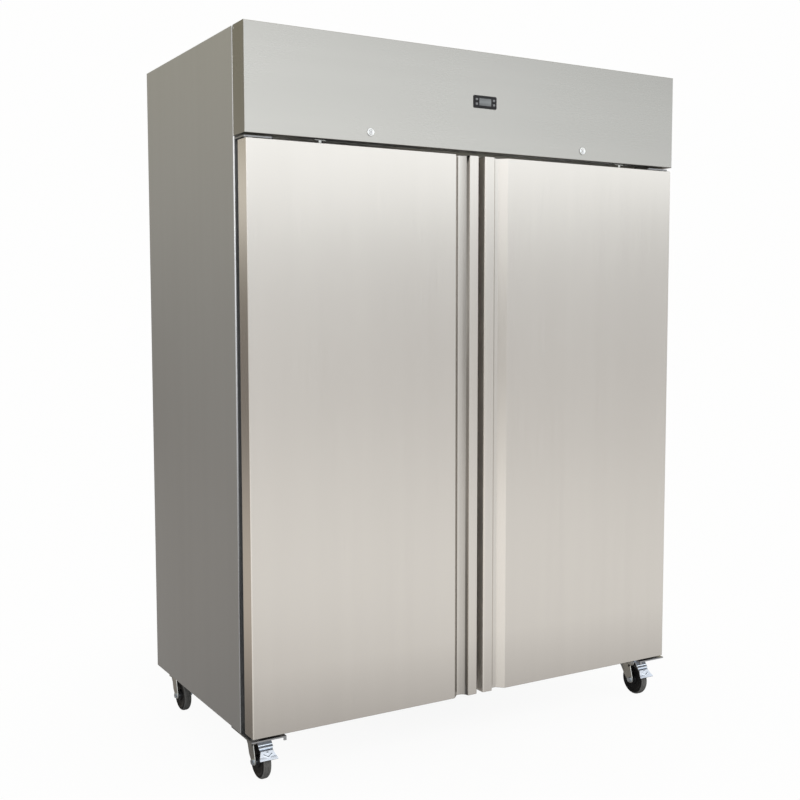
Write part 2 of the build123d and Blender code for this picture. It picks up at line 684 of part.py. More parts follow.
def door_outline(inset, rear):
    """Plan of the right door drawn in by inset, with its back edge at depth rear."""
    run = math.hypot(HANDLE_SLOPE, HANDLE_DEPTH)
    nx = HANDLE_DEPTH / run
    ny = HANDLE_SLOPE / run
    face_end = HANDLE_START + inset * (1 - ny) / nx
    floor = HANDLE_DEPTH + inset
    floor_start = HANDLE_START + (inset - ny * floor) / nx
    scoop = HANDLE_START - HANDLE_SLOPE - HANDLE_FLOOR
    lift = math.asin(inset / floor)
    half_way = (math.pi / 2 + lift) / 2
    lip = scoop - floor * math.cos(lift)
    grip = LIP_ROUND - inset
    grip_x = DOOR_FREE + LIP_ROUND
    bend = DOOR_EDGE - inset
    bend_x = DOOR_HINGE_EDGE - DOOR_EDGE
    s = math.sqrt(0.5)

    def at(x, depth):
        return (x, FRONT + depth)

    lines = [
        Line(at(DOOR_HINGE_EDGE - inset, rear), at(DOOR_HINGE_EDGE - inset, DOOR_EDGE)),
        ThreePointArc(
            at(DOOR_HINGE_EDGE - inset, DOOR_EDGE), at(bend_x + bend * s, DOOR_EDGE - bend * s), at(bend_x, inset)
        ),
        Line(at(bend_x, inset), at(face_end, inset)),
        Line(at(face_end, inset), at(floor_start, floor)),
        Line(at(floor_start, floor), at(scoop, floor)),
        ThreePointArc(
            at(scoop, floor),
            at(scoop - floor * math.cos(half_way), floor * math.sin(half_way)),
            at(lip, inset),
        ),
        Line(at(lip, inset), at(grip_x, inset)),
        ThreePointArc(at(grip_x, inset), at(grip_x - grip * s, LIP_ROUND - grip * s), at(DOOR_FREE + inset, LIP_ROUND)),
        Line(at(DOOR_FREE + inset, LIP_ROUND), at(DOOR_FREE + inset, rear)),
        Line(at(DOOR_FREE + inset, rear), at(DOOR_HINGE_EDGE - inset, rear)),
    ]
    return make_face(lines)


def door_rect(inset, radius):
    """Outline of the right door seen from the front, taken in by inset."""
    width = DOOR_HINGE_EDGE - DOOR_FREE - 2 * inset
    height = DOOR_TOP - DOOR_BOTTOM - 2 * inset
    middle = Pos((DOOR_HINGE_EDGE + DOOR_FREE) / 2, (DOOR_TOP + DOOR_BOTTOM) / 2)
    if radius > 0:
        return middle * RectangleRounded(width, height, radius)
    return middle * Rectangle(width, height)


LOCK_Z = FASCIA_BOTTOM + LOCK_RISE
LOCK_REACH = LOCK_RISE + DOOR_TOP_GAP + LOCK_BITE
CAM_Y = FRONT + LOCK_BARREL_LENGTH + SHEET + 1.0
PLUG_EDGE = GASKET_INSET + GASKET_BULB + PLUG_INSET


def keeper():
    """The pocket in the door top that the lock cam turns down into."""
    side = math.sqrt(LOCK_REACH ** 2 - (LOCK_RISE + DOOR_TOP_GAP) ** 2) + LOCK_CAM_WIDTH / 2 + LOCK_ROOM
    return block(
        LOCK_X - LOCK_CAM_WIDTH / 2 - LOCK_ROOM, LOCK_X + side,
        CAM_Y - LOCK_ROOM, CAM_Y + LOCK_CAM_THICK + LOCK_ROOM,
        DOOR_TOP - LOCK_BITE - LOCK_ROOM, DOOR_TOP + 1,
    )


def bush_holes():
    low = rod_z(PIVOT_X, PIVOT_Y, BUSH_RADIUS, DOOR_BOTTOM - 1, DOOR_BOTTOM + BUSH_LENGTH)
    high = rod_z(PIVOT_X, PIVOT_Y, BUSH_RADIUS, DOOR_TOP - BUSH_LENGTH, DOOR_TOP + 1)
    return low, high


def door_skin():
    skin = along_z(door_outline(0, DOOR_THICK), DOOR_BOTTOM, DOOR_TOP)
    skin -= along_z(door_outline(SHEET, DOOR_THICK + 1), DOOR_BOTTOM + SHEET, DOOR_TOP - SHEET)
    low, high = bush_holes()
    return skin - low - high - keeper()


def door_core():
    core = along_z(door_outline(SHEET, DOOR_THICK - DOOR_LINER), DOOR_BOTTOM + SHEET, DOOR_TOP - SHEET)
    boss = door_rect(PLUG_EDGE + DOOR_LINER, PLUG_CORNER - DOOR_LINER)
    core += along_y(boss, FRONT + DOOR_THICK - DOOR_LINER - 1, FRONT + DOOR_THICK + PLUG_DEPTH - DOOR_LINER)
    low, high = bush_holes()
    return core - low - high - keeper()


def door_liner():
    rear = FRONT + DOOR_THICK
    panel = block(
        DOOR_FREE + SHEET, DOOR_HINGE_EDGE - SHEET, rear - DOOR_LINER, rear, DOOR_BOTTOM + SHEET, DOOR_TOP - SHEET
    )
    panel += along_y(door_rect(PLUG_EDGE, PLUG_CORNER), rear - DOOR_LINER, rear + PLUG_DEPTH)
    hollow = door_rect(PLUG_EDGE + DOOR_LINER, PLUG_CORNER - DOOR_LINER)
    return panel - along_y(hollow, rear - DOOR_LINER - 1, rear + PLUG_DEPTH - DOOR_LINER)


def ring_y(inset, width, y0, y1):
    """A frame with mitred corners, as gaskets are welded."""
    return along_y(door_rect(inset, 0), y0, y1) - along_y(door_rect(inset + width, 0), y0 - 1, y1 + 1)


def door_gasket():
    rear = FRONT + DOOR_THICK
    seal = FRONT + DOOR_STANDOFF - JOINT_GAP
    side = (GASKET_BULB - GASKET_BASE) / 2
    step = rear + GASKET_BASE_DEPTH
    base_ring = ring_y(GASKET_INSET + side, GASKET_BASE, rear, step)
    return base_ring + ring_y(GASKET_INSET, GASKET_BULB, step, seal)


def door_bushes():
    bore = HINGE_PIN + HINGE_RUN
    low = DOOR_BOTTOM - DOOR_FLOOR_GAP + JOINT_GAP
    high = DOOR_TOP + UPPER_PLATE_LIFT - JOINT_GAP
    lower = turned([
        (bore, low), (BUSH_FLANGE, low), (BUSH_FLANGE, DOOR_BOTTOM), (BUSH_RADIUS, DOOR_BOTTOM),
        (BUSH_RADIUS, DOOR_BOTTOM + BUSH_LENGTH), (bore, DOOR_BOTTOM + BUSH_LENGTH),
    ], PIVOT_X, PIVOT_Y)
    upper = turned([
        (bore, high), (BUSH_FLANGE, high), (BUSH_FLANGE, DOOR_TOP), (BUSH_RADIUS, DOOR_TOP),
        (BUSH_RADIUS, DOOR_TOP - BUSH_LENGTH), (bore, DOOR_TOP - BUSH_LENGTH),
    ], PIVOT_X, PIVOT_Y)
    return lower, upper


# Hinge plates and pins


def lower_hinge():
    """Plate under the body that reaches forward under the right door, with the pin welded into it."""
    inner = SIDE - HINGE_PLATE_WIDTH
    plate = block(inner, SIDE, FRONT, FRONT + LOWER_PLATE_DEPTH, CASTER_TOP, BODY_BOTTOM)
    plate += block(inner, inner + STOP_TAB, FRONT, FRONT + 3, CASTER_TOP - STOP_TAB, BODY_BOTTOM)
    return plate + rod_z(PIVOT_X, PIVOT_Y, HINGE_PIN, CASTER_TOP, DOOR_BOTTOM + BUSH_LENGTH - 2)


def upper_hinge():
    """Angle on the body front that reaches forward over the right door, with its pin."""
    low = DOOR_TOP + UPPER_PLATE_LIFT
    high = low + HINGE_PLATE
    outer = SIDE - DOOR_INSET
    inner = outer - UPPER_PLATE_WIDTH
    front = PIVOT_Y - 14
    plate = block(inner, outer, front, BODY_FRONT, low, high)
    edges = plate.edges().filter_by(Axis.Z).sort_by(Axis.Y)[:2]
    plate = fillet(edges, 8)
    plate += block(inner, outer, BODY_FRONT - HINGE_PLATE, BODY_FRONT, low, DECK)
    return plate + rod_z(PIVOT_X, PIVOT_Y, HINGE_PIN, DOOR_TOP - BUSH_LENGTH + 2, high)


# Header panel

FASCIA_BACK = FRONT + FASCIA_RETURN
TILT_Y = FASCIA_BACK - FASCIA_PIVOT
TILT_Z = HEIGHT - FASCIA_PIVOT
CONTROL_Z = FASCIA_BOTTOM + FASCIA_HEIGHT / 2


def fascia_panel():
    pan = block(-SIDE, SIDE, FRONT, FASCIA_BACK, FASCIA_BOTTOM, HEIGHT)
    pan = fillet(pan.edges().group_by(Axis.Y)[0], FASCIA_EDGE)
    inner = SIDE - SHEET
    pan -= block(-inner, inner, FRONT + SHEET, FASCIA_BACK + 1, FASCIA_BOTTOM + SHEET, HEIGHT - SHEET)
    pan -= block(-inner, inner, FRONT + FASCIA_LIP, FASCIA_BACK + 1, FASCIA_BOTTOM - 1, FASCIA_BOTTOM + SHEET + 1)
    pan -= block(-inner, inner, TILT_Y, FASCIA_BACK + 1, HEIGHT - SHEET - 1, HEIGHT + 1)
    corner = block(-SIDE - 1, SIDE + 1, TILT_Y, FASCIA_BACK + 1, TILT_Z, HEIGHT + 1)
    pan -= corner - rod_x(TILT_Y, TILT_Z, FASCIA_PIVOT, -SIDE - 2, SIDE + 2)
    pan -= rod_x(TILT_Y, TILT_Z, FASCIA_PIN + HINGE_RUN, -SIDE - 1, SIDE + 1)
    half_w = CONTROL_CASE_WIDTH / 2
    half_h = CONTROL_CASE_HEIGHT / 2
    pan -= block(
        CONTROL_X - half_w, CONTROL_X + half_w, FRONT - 1, FRONT + SHEET + 1, CONTROL_Z - half_h, CONTROL_Z + half_h
    )
    side = math.sqrt(LOCK_REACH ** 2 - LOCK_RISE ** 2) + LOCK_CAM_WIDTH / 2 + LOCK_ROOM
    for sign in (-1, 1):
        pan -= rod_y(sign * LOCK_X, LOCK_Z, LOCK_BARREL, FRONT - 1, FRONT + SHEET + 1)
        near = sign * (LOCK_X - LOCK_CAM_WIDTH / 2 - LOCK_ROOM)
        far = sign * (LOCK_X + side)
        pan -= block(
            min(near, far), max(near, far), CAM_Y - LOCK_ROOM, CAM_Y + LOCK_CAM_THICK + LOCK_ROOM,
            FASCIA_BOTTOM - 1, FASCIA_BOTTOM + SHEET + 1,
        )
    return pan


def fascia_hinge():
    """Arm on the front return of the right side panel, with the pin that the header swings on."""
    outer = SIDE - SHEET - JOINT_GAP
    low = TILT_Z - FASCIA_ARM_LENGTH
    arm = shape_of([
        (TILT_Y - FASCIA_PIVOT / 2, TILT_Z), (TILT_Y, TILT_Z + FASCIA_PIVOT / 2),
        (TILT_Y + FASCIA_PIVOT / 2, TILT_Z), (BODY_FRONT, TILT_Z - FASCIA_PIVOT),
        (BODY_FRONT, low), (BODY_FRONT - FASCIA_ARM, low),
    ])
    hinge = along_x(arm, outer - FASCIA_ARM, outer)
    foot = outer - FASCIA_ARM_FOOT
    hinge += block(foot, outer, BODY_FRONT - FASCIA_ARM, BODY_FRONT, low, TILT_Z - FASCIA_PIVOT)
    return hinge + rod_x(TILT_Y, TILT_Z, FASCIA_PIN, outer - FASCIA_ARM, SIDE)


def key_centres():
    return [
        (CONTROL_X + a * KEY_SPREAD, CONTROL_Z + b * KEY_RISE) for a in (-1, 1) for b in (1, -1)
    ]


def controller_case():
    bezel = along_y(
        Pos(CONTROL_X, CONTROL_Z) * RectangleRounded(CONTROL_WIDTH, CONTROL_HEIGHT, 4), FRONT - CONTROL_BEZEL, FRONT
    )
    case = along_y(
        Pos(CONTROL_X, CONTROL_Z) * Rectangle(CONTROL_CASE_WIDTH, CONTROL_CASE_HEIGHT),
        FRONT - 0.5, FRONT + CONTROL_CASE_DEPTH,
    )
    whole = bezel + case
    face = FRONT - CONTROL_BEZEL
    whole -= along_y(
        Pos(CONTROL_X, CONTROL_Z) * Rectangle(WINDOW_WIDTH, WINDOW_HEIGHT), face - 1, face + WINDOW_DEPTH
    )
    depth = KEY_LENGTH - KEY_PROUD + KEY_TRAVEL + JOINT_GAP
    hole = Rectangle(KEY_WIDTH + 2 * JOINT_GAP, KEY_HEIGHT + 2 * JOINT_GAP)
    for x, z in key_centres():
        whole -= along_y(Pos(x, z) * hole, face - 1, face + depth)
    return whole


def display_window():
    face = FRONT - CONTROL_BEZEL
    return along_y(Pos(CONTROL_X, CONTROL_Z) * Rectangle(WINDOW_WIDTH, WINDOW_HEIGHT), face, face + WINDOW_DEPTH)


def control_key(x, z):
    face = FRONT - CONTROL_BEZEL - KEY_PROUD
    key = along_y(Pos(x, z) * RectangleRounded(KEY_WIDTH, KEY_HEIGHT, 1.5), face, face + KEY_LENGTH)
    return chamfer(key.faces().sort_by(Axis.Y)[0].edges(), 0.4)


def lock_sleeve():
    face = FRONT - LOCK_FLANGE_THICK
    back_end = FRONT + LOCK_BARREL_LENGTH
    sleeve = rod_y(LOCK_X, LOCK_Z, LOCK_FLANGE, face, FRONT)
    sleeve = chamfer(sleeve.edges().filter_by(GeomType.CIRCLE).sort_by(Axis.Y)[0], 1.0)
    sleeve += rod_y(LOCK_X, LOCK_Z, LOCK_BARREL, FRONT - 0.5, back_end)
    return sleeve - rod_y(LOCK_X, LOCK_Z, LOCK_PLUG + HINGE_RUN, face - 1, back_end + 1)


def lock_plug():
    face = FRONT - LOCK_FLANGE_THICK
    plug = rod_y(LOCK_X, LOCK_Z, LOCK_PLUG, face, CAM_Y)
    slot = Pos(LOCK_X, LOCK_Z) * Rectangle(KEYHOLE_WIDTH, KEYHOLE_HEIGHT)
    plug -= along_y(slot, face - 1, face + KEYHOLE_DEPTH)
    return plug


def lock_cam():
    """Flat cam on the back of the plug, pointing away from the middle while the door is free."""
    half = LOCK_CAM_WIDTH / 2
    bar = Pos(LOCK_X + LOCK_REACH / 2, LOCK_Z) * Rectangle(LOCK_REACH - LOCK_CAM_WIDTH, LOCK_CAM_WIDTH)
    eye = Pos(LOCK_X, LOCK_Z) * Circle(half + 1.5)
    neck = Pos(LOCK_X + LOCK_REACH / 4, LOCK_Z) * Rectangle(LOCK_REACH / 2, LOCK_CAM_WIDTH)
    tip = Pos(LOCK_X + LOCK_REACH - half, LOCK_Z) * Circle(half)
    return along_y(bar + eye + neck + tip, CAM_Y, CAM_Y + LOCK_CAM_THICK)


# Casters, each drawn with its swivel axis on X = Y = 0

PLATE_LOW = CASTER_TOP - CASTER_PLATE_THICK
RACE_LOW = PLATE_LOW - RACE_HEIGHT
CROWN_TOP = RACE_LOW - JOINT_GAP
CROWN_LOW = CROWN_TOP - CROWN_HEIGHT
LEG_INNER = SPACER_WIDTH / 2 + LEG_GAP
LEG_OUTER = LEG_INNER + LEG_THICK
AXLE_Y = -CASTER_TRAIL
PEDAL_Y = -PEDAL_FORWARD
PEDAL_Z = 2 * WHEEL_RADIUS + PEDAL_LIFT


def caster_plate():
    """Top plate with the bearing race and the king pin riveted into it."""
    plate = along_z(RectangleRounded(CASTER_PLATE, CASTER_PLATE, 8), PLATE_LOW, CASTER_TOP)
    low = CROWN_LOW - JOINT_GAP
    pin = turned([
        (0, low - KING_HEAD_THICK), (KING_HEAD, low - KING_HEAD_THICK), (KING_HEAD, low), (KING_RADIUS, low),
        (KING_RADIUS, RACE_LOW), (RACE_RADIUS - 3, RACE_LOW), (RACE_RADIUS, RACE_LOW + 4),
        (RACE_RADIUS + 3, PLATE_LOW + 0.5), (0, PLATE_LOW + 0.5),
    ], 0, 0)
    return plate + pin


def caster_fork(braked):
    crown = turned([
        (KING_RADIUS + SWIVEL_RUN, CROWN_LOW), (CROWN_RADIUS, CROWN_LOW), (CROWN_RADIUS, CROWN_LOW + 3),
        (CROWN_RADIUS - CROWN_TAPER, CROWN_TOP), (KING_RADIUS + SWIVEL_RUN, CROWN_TOP),
    ], 0, 0)
    room = KING_HEAD + 2
    half = LEG_TOP / 2
    leg = shape_of([
        (half, CROWN_LOW + 3), (half, CROWN_LOW - 6), (AXLE_Y + LEG_EYE * 0.8, WHEEL_RADIUS - LEG_EYE * 0.6),
        (AXLE_Y - LEG_EYE * 0.9, WHEEL_RADIUS - LEG_EYE * 0.4), (AXLE_Y - LEG_EYE, WHEEL_RADIUS + 8),
        (-half - 2, CROWN_LOW - 8), (-half, CROWN_LOW + 3),
    ])
    leg += Pos(AXLE_Y, WHEEL_RADIUS) * Circle(LEG_EYE)
    if braked:
        leg += shape_of([
            (-half + 6, CROWN_LOW + 3), (-half + 4, CROWN_LOW - 14),
            (PEDAL_Y + PEDAL_BOSS, PEDAL_Z - PEDAL_BOSS - 3),
            (PEDAL_Y - PEDAL_BOSS, PEDAL_Z - PEDAL_BOSS), (PEDAL_Y - PEDAL_BOSS, PEDAL_Z + 2),
            (PEDAL_Y, PEDAL_Z + PEDAL_BOSS),
        ])
        leg -= Pos(PEDAL_Y, PEDAL_Z) * Circle(PEDAL_PIN)
    leg -= Pos(AXLE_Y, WHEEL_RADIUS) * Circle(AXLE_RADIUS)
    right = along_x(leg, LEG_INNER, LEG_OUTER)
    fork = crown + right + mirrored(right)
    return fork - rod_z(0, 0, KING_RADIUS + SWIVEL_RUN, CROWN_LOW - room, CROWN_TOP + 1)


def caster_axle():
    """Bolt through both legs, with its head outside and a nut on the far end."""
    shank = rod_x(AXLE_Y, WHEEL_RADIUS, AXLE_RADIUS, -LEG_OUTER - 2, LEG_OUTER + 2)
    head = along_x(Pos(AXLE_Y, WHEEL_RADIUS) * RegularPolygon(AXLE_HEAD, 6), LEG_OUTER, LEG_OUTER + AXLE_HEAD_THICK)
    return shank + head + mirrored(head)


def pedal_pin():
    return rod_x(PEDAL_Y, PEDAL_Z, PEDAL_PIN, -LEG_OUTER - 1.5, LEG_OUTER + 1.5)


def caster_wheel():
    half = WHEEL_WIDTH / 2
    r = WHEEL_RADIUS
    dish = half - TYRE_STEP
    bore = AXLE_RADIUS + AXLE_RUN
    half_profile = [
        (SPACER_WIDTH / 2, bore), (SPACER_WIDTH / 2, SPACER_RADIUS), (HUB_WIDTH / 2, SPACER_RADIUS),
        (HUB_WIDTH / 2, HUB_RADIUS), (dish, HUB_RADIUS), (dish, r - TYRE_WALL), (half, r - TYRE_WALL + 2),
        (half, r - WHEEL_SHOULDER), (half - WHEEL_SHOULDER, r),
    ]
    profile = shape_of(half_profile + [(-x, y) for x, y in reversed(half_profile)])
    return Pos(0, AXLE_Y, r) * revolve(profile, axis=Axis.X)


def brake_pedal():
    """Stamped lever over the wheel: a boss on the pin, a step and a flared tongue."""
    inner = LEG_INNER - JOINT_GAP
    boss = along_x(Pos(PEDAL_Y, PEDAL_Z) * Circle(PEDAL_BOSS), -inner, inner)
    step = PEDAL_Y - PEDAL_STEP
    under = PEDAL_Z + PEDAL_BOSS - PEDAL_SHEET / 2
    knee = step - PEDAL_KNEE
    end_y = PEDAL_Y - PEDAL_REACH
    end_z = PEDAL_Z - PEDAL_DROP
    bend = band([
        (end_y, end_z), (knee, under - 3 * PEDAL_KNEE), (step, under), (PEDAL_Y + PEDAL_BOSS / 2, under),
    ], PEDAL_SHEET)
    half_in = PEDAL_WIDTH / 2
    half_out = PEDAL_FLARE / 2
    clear = PEDAL_Y - PEDAL_BOSS - 1
    waist = (knee + end_y) / 2
    half_plan = [
        (inner, PEDAL_Y + PEDAL_BOSS), (inner, clear), (half_in, clear - 1), (half_in, knee),
        (half_in - 1, waist), (half_out, end_y + 3), (half_out, end_y - PEDAL_SHEET - 1),
    ]
    plan = shape_of(half_plan + [(-x, y) for x, y in reversed(half_plan)])
    plate = along_x(bend, -half_out, half_out)
    plate &= along_z(plan, end_z - PEDAL_SHEET - 1, PEDAL_Z + PEDAL_BOSS + PEDAL_SHEET)
    gusset = along_x(shape_of([
        (PEDAL_Y, PEDAL_Z), (PEDAL_Y, under + PEDAL_SHEET / 2), (step + 3, under + PEDAL_SHEET / 2),
    ]), -inner + 2, inner - 2)
    pedal = boss + plate + gusset
    return pedal - rod_x(PEDAL_Y, PEDAL_Z, PEDAL_PIN + HINGE_RUN, -inner - 1, inner + 1)


# Write the parts

os.makedirs("parts", exist_ok=True)

save("right_side_panel", right_side)
save("left_side_panel", mirrored(right_side))
save("back_panel", back)
save("base_panel", base)
save("machine_deck", deck)
save("insulation", insulation())
save("inner_liner", inner_liner())
save("front_frame", front_frame())
save("centre_mullion", centre_mullion())
save("rear_grille", rear_grille())

save("shelf_uprights", *uprights())
outer_runner = runner()
middle_runner = inner_runner()
shelf = wire_shelf()
runners = []
shelves = []
for level in shelf_levels():
    for angle in (outer_runner, middle_runner):
        runners.append(Pos(0, 0, level) * angle)
        runners.append(Pos(0, 0, level) * mirrored(angle))
    seat = level - RUNNER_HEIGHT + RUNNER_THICK
    for piece in shelf:
        shelves.append(Pos(0, 0, seat) * piece)
        shelves.append(Pos(0, 0, seat) * mirrored(piece))
save("shelf_runners", *runners)
save("wire_shelves", *shelves)

cover = evaporator_cover()
save("evaporator_coil", evaporator_coil())
evap_fan_y = EVAP_FRONT + EVAP_SHEET / 2
evap_fan = blade_set(EVAP_FAN_RADIUS, EVAP_HUB, EVAP_FAN_DEPTH, 4, FAN_SHAFT + FAN_SHAFT_RUN)
evap_motor_y = evap_fan_y + EVAP_FAN_DEPTH / 2 + FAN_STAND
evap_motor = fan_motor(
    EVAP_MOTOR_RADIUS, EVAP_MOTOR_LENGTH, FAN_SHAFT, shaft_tip(EVAP_FAN_DEPTH),
    EVAP_FRONT + EVAP_SHEET - evap_motor_y, EVAP_HOLE, 3,
)
for x in (-EVAP_FAN_X, EVAP_FAN_X):
    cover += Pos(x, evap_motor_y, EVAP_FAN_Z) * evap_motor
save("evaporator_cover", cover)
save("left_evaporator_fan", Pos(-EVAP_FAN_X, evap_fan_y, EVAP_FAN_Z) * evap_fan)
save("right_evaporator_fan", Pos(EVAP_FAN_X, evap_fan_y, EVAP_FAN_Z) * evap_fan)

save("condenser_coil", condenser_coil())
fan = blade_set(FAN_RADIUS, FAN_HUB, FAN_DEPTH, FAN_BLADES, FAN_SHAFT + FAN_SHAFT_RUN)
save("condenser_fan", Pos(COIL_X, FAN_Y, COIL_Z) * fan)
motor_y = FAN_Y + FAN_DEPTH / 2 + FAN_STAND
motor = fan_motor(
    MOTOR_RADIUS, MOTOR_LENGTH, FAN_SHAFT, shaft_tip(FAN_DEPTH),
    COIL_BACK + SHROUD_THICK - motor_y, FAN_HOLE + SHROUD_THICK, 4,
)
save("condenser_shroud", condenser_shroud() + Pos(COIL_X, motor_y, COIL_Z) * motor)
save("compressor", compressor())
save("refrigerant_pipes", *pipework())
save("electrics_box", electrics_box())

skin = door_skin()
core = door_core()
liner = door_liner()
gasket = door_gasket()
bushes = door_bushes()
for side, turn in (("right", lambda shape: shape), ("left", mirrored)):
    save(f"{side}_door_skin", turn(skin))
    save(f"{side}_door_core", turn(core))
    save(f"{side}_door_liner", turn(liner))
    save(f"{side}_door_gasket", turn(gasket))
    save(f"{side}_door_bushes", *[turn(bush) for bush in bushes])

lower = lower_hinge()
upper = upper_hinge()
save("door_hinge_plates", lower, upper, mirrored(lower), mirrored(upper))

save("fascia_panel", fascia_panel())
arm = fascia_hinge()
save("fascia_hinges", arm, mirrored(arm))
save("controller_case", controller_case())
save("display_window", display_window())
for name, (x, z) in zip(("set", "defrost", "up", "down"), key_centres()):
    save(f"{name}_key", control_key(x, z))
sleeve = lock_sleeve()
save("lock_sleeves", sleeve, mirrored(sleeve))
plug = lock_plug() + lock_cam()
save("right_lock_plug", plug)
save("left_lock_plug", mirrored(plug))

spots = {
    "front_left": (-CASTER_X, FRONT + FRONT_SWIVEL),
    "front_right": (CASTER_X, FRONT + FRONT_SWIVEL),
    "rear_left": (-CASTER_X, BACK - REAR_SWIVEL),
    "rear_right": (CASTER_X, BACK - REAR_SWIVEL),
}
plate = caster_plate()
save("caster_plates", *[Pos(x, y, 0) * plate for x, y in spots.values()])
braked_fork = caster_fork(True)
plain_fork = caster_fork(False)
axle = caster_axle()
wheel = caster_wheel()
pedal = brake_pedal()
for name, (x, y) in spots.items():
    spot = Pos(x, y, 0)
    braked = name.startswith("front")
    save(f"{name}_fork", spot * (braked_fork if braked else plain_fork))
    save(f"{name}_wheel", spot * wheel)
    if braked:
        save(f"{name}_axle", spot * axle, spot * pedal_pin())
        save(f"{name}_pedal", spot * pedal)
    else:
        save(f"{name}_axle", spot * axle)
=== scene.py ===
import json
import math

import bmesh
import bpy
import numpy as np
from bpy.props import FloatProperty, FloatVectorProperty, IntProperty, PointerProperty
from mathutils import Euler, Matrix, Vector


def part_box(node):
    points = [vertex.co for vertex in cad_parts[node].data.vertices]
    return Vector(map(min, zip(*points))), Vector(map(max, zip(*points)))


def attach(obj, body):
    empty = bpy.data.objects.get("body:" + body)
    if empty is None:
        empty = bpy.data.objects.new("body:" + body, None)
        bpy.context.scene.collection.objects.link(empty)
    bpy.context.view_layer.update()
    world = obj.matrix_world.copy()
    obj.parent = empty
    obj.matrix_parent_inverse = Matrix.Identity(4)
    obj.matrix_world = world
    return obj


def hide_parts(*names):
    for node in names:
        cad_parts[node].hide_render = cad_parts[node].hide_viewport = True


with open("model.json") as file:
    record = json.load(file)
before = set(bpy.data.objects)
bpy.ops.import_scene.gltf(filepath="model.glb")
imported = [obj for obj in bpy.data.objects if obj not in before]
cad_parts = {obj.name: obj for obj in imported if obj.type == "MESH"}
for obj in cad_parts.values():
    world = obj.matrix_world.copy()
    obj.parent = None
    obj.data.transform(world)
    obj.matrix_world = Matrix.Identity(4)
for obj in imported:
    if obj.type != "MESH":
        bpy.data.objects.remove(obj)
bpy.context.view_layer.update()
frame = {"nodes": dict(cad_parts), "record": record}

bl_info = {
    "name": "Two-door freezer cabinet",
    "version": (1, 0, 0),
    "blender": (4, 5, 0),
    "location": "3D View > Sidebar > Freezer",
    "description": "Dresses the packed freezer cabinet with finishes, folded doors, casters and fittings",
    "category": "Object",
}

NODES = frame["nodes"]
SIDES = (("left", -1.0), ("right", 1.0))
CASTERS = ("front_left", "front_right", "rear_left", "rear_right")
KEYS = ("set", "defrost", "up", "down")
TREAD = "tread"


# Sizes and colours a user would change


def length(name, default, description):
    """A length property in metres."""
    return FloatProperty(
        name=name, description=description, default=default, min=0.0, unit="LENGTH", precision=4,
    )


def share(name, default, description):
    """A property between 0 and 1."""
    return FloatProperty(
        name=name, description=description, default=default, min=0.0, max=1.0, subtype="FACTOR",
    )


def angle(name, default, description):
    """An angle property in radians."""
    return FloatProperty(name=name, description=description, default=default, subtype="ANGLE")


def paint(name, default, description):
    """A colour property."""
    return FloatVectorProperty(
        name=name, description=description, default=default, size=3, subtype="COLOR", min=0.0, max=1.0,
    )


class FreezerSteel(bpy.types.PropertyGroup):
    """Colours and brushing of the sheet metal."""

    door: paint("Doors", (0.600, 0.573, 0.540), "Base colour of the brushed doors")
    header: paint("Header", (0.482, 0.475, 0.451), "Base colour of the brushed header panel")
    side: paint("Sides", (0.540, 0.550, 0.566), "Base colour of the side panels")
    inside: paint("Inside", (0.560, 0.555, 0.545), "Base colour of the liner and the front frame")
    roughness: share("Roughness", 0.22, "Roughness of the brushed doors")
    brushing: share("Brushing", 0.0, "How far a highlight is drawn out across the grain of the doors")
    ripple: share("Ripple", 0.10, "How far the large sheets are out of flat")


class FreezerDoor(bpy.types.PropertyGroup):
    """The folded door skin and its full-height handle."""

    bend: length("Hinge edge", 0.004, "Bend radius at the hinge edge")
    face_end: length("Face end", 0.091, "Cabinet centre line to the end of the flat face")
    slope: length("Slope", 0.020, "Run of the sloping wall of the recess")
    floor: length("Floor", 0.008, "Flat bottom of the recess")
    depth: length("Depth", 0.020, "Depth of the recess and radius of its scoop")
    grip: length("Grip", 0.006, "Radius of the rolled outer corner of the grip")
    fold: length("Fold", 0.0018, "Radius of the other folds")
    sheet: length("Sheet", 0.0009, "Thickness of the sheet")
    edge: length("Edge", 0.0008, "Drawing in of the top and bottom edges")


class FreezerCaster(bpy.types.PropertyGroup):
    """Wheels, forks and brake pedals."""

    tyre: length("Tyre", 0.0125, "Half width of a wheel")
    tread: length("Tread round", 0.009, "Radius at the shoulders of a wheel")
    edge: length("Edge round", 0.0008, "Bevelled edges of the fork's ears")
    rubber: paint("Rubber", (0.008, 0.008, 0.0085), "Colour of the wheels")
    zinc: paint("Zinc", (0.600, 0.640, 0.680), "Colour of the plated steel")


class FreezerFittings(bpy.types.PropertyGroup):
    """Shelves, gaskets, controller and fasteners."""

    wire: length("Shelf wire", 0.0025, "Radius of the shelf wires")
    wires: IntProperty(
        name="Wires", description="Wires in a shelf, front to back", default=25, min=4, max=60,
    )
    screw: length("Screw head", 0.0045, "Radius of a screw head")
    bezel: paint("Bezel", (0.010, 0.010, 0.011), "Colour of the controller")
    gasket: paint("Gasket", (0.034, 0.034, 0.035), "Colour of the door gaskets")


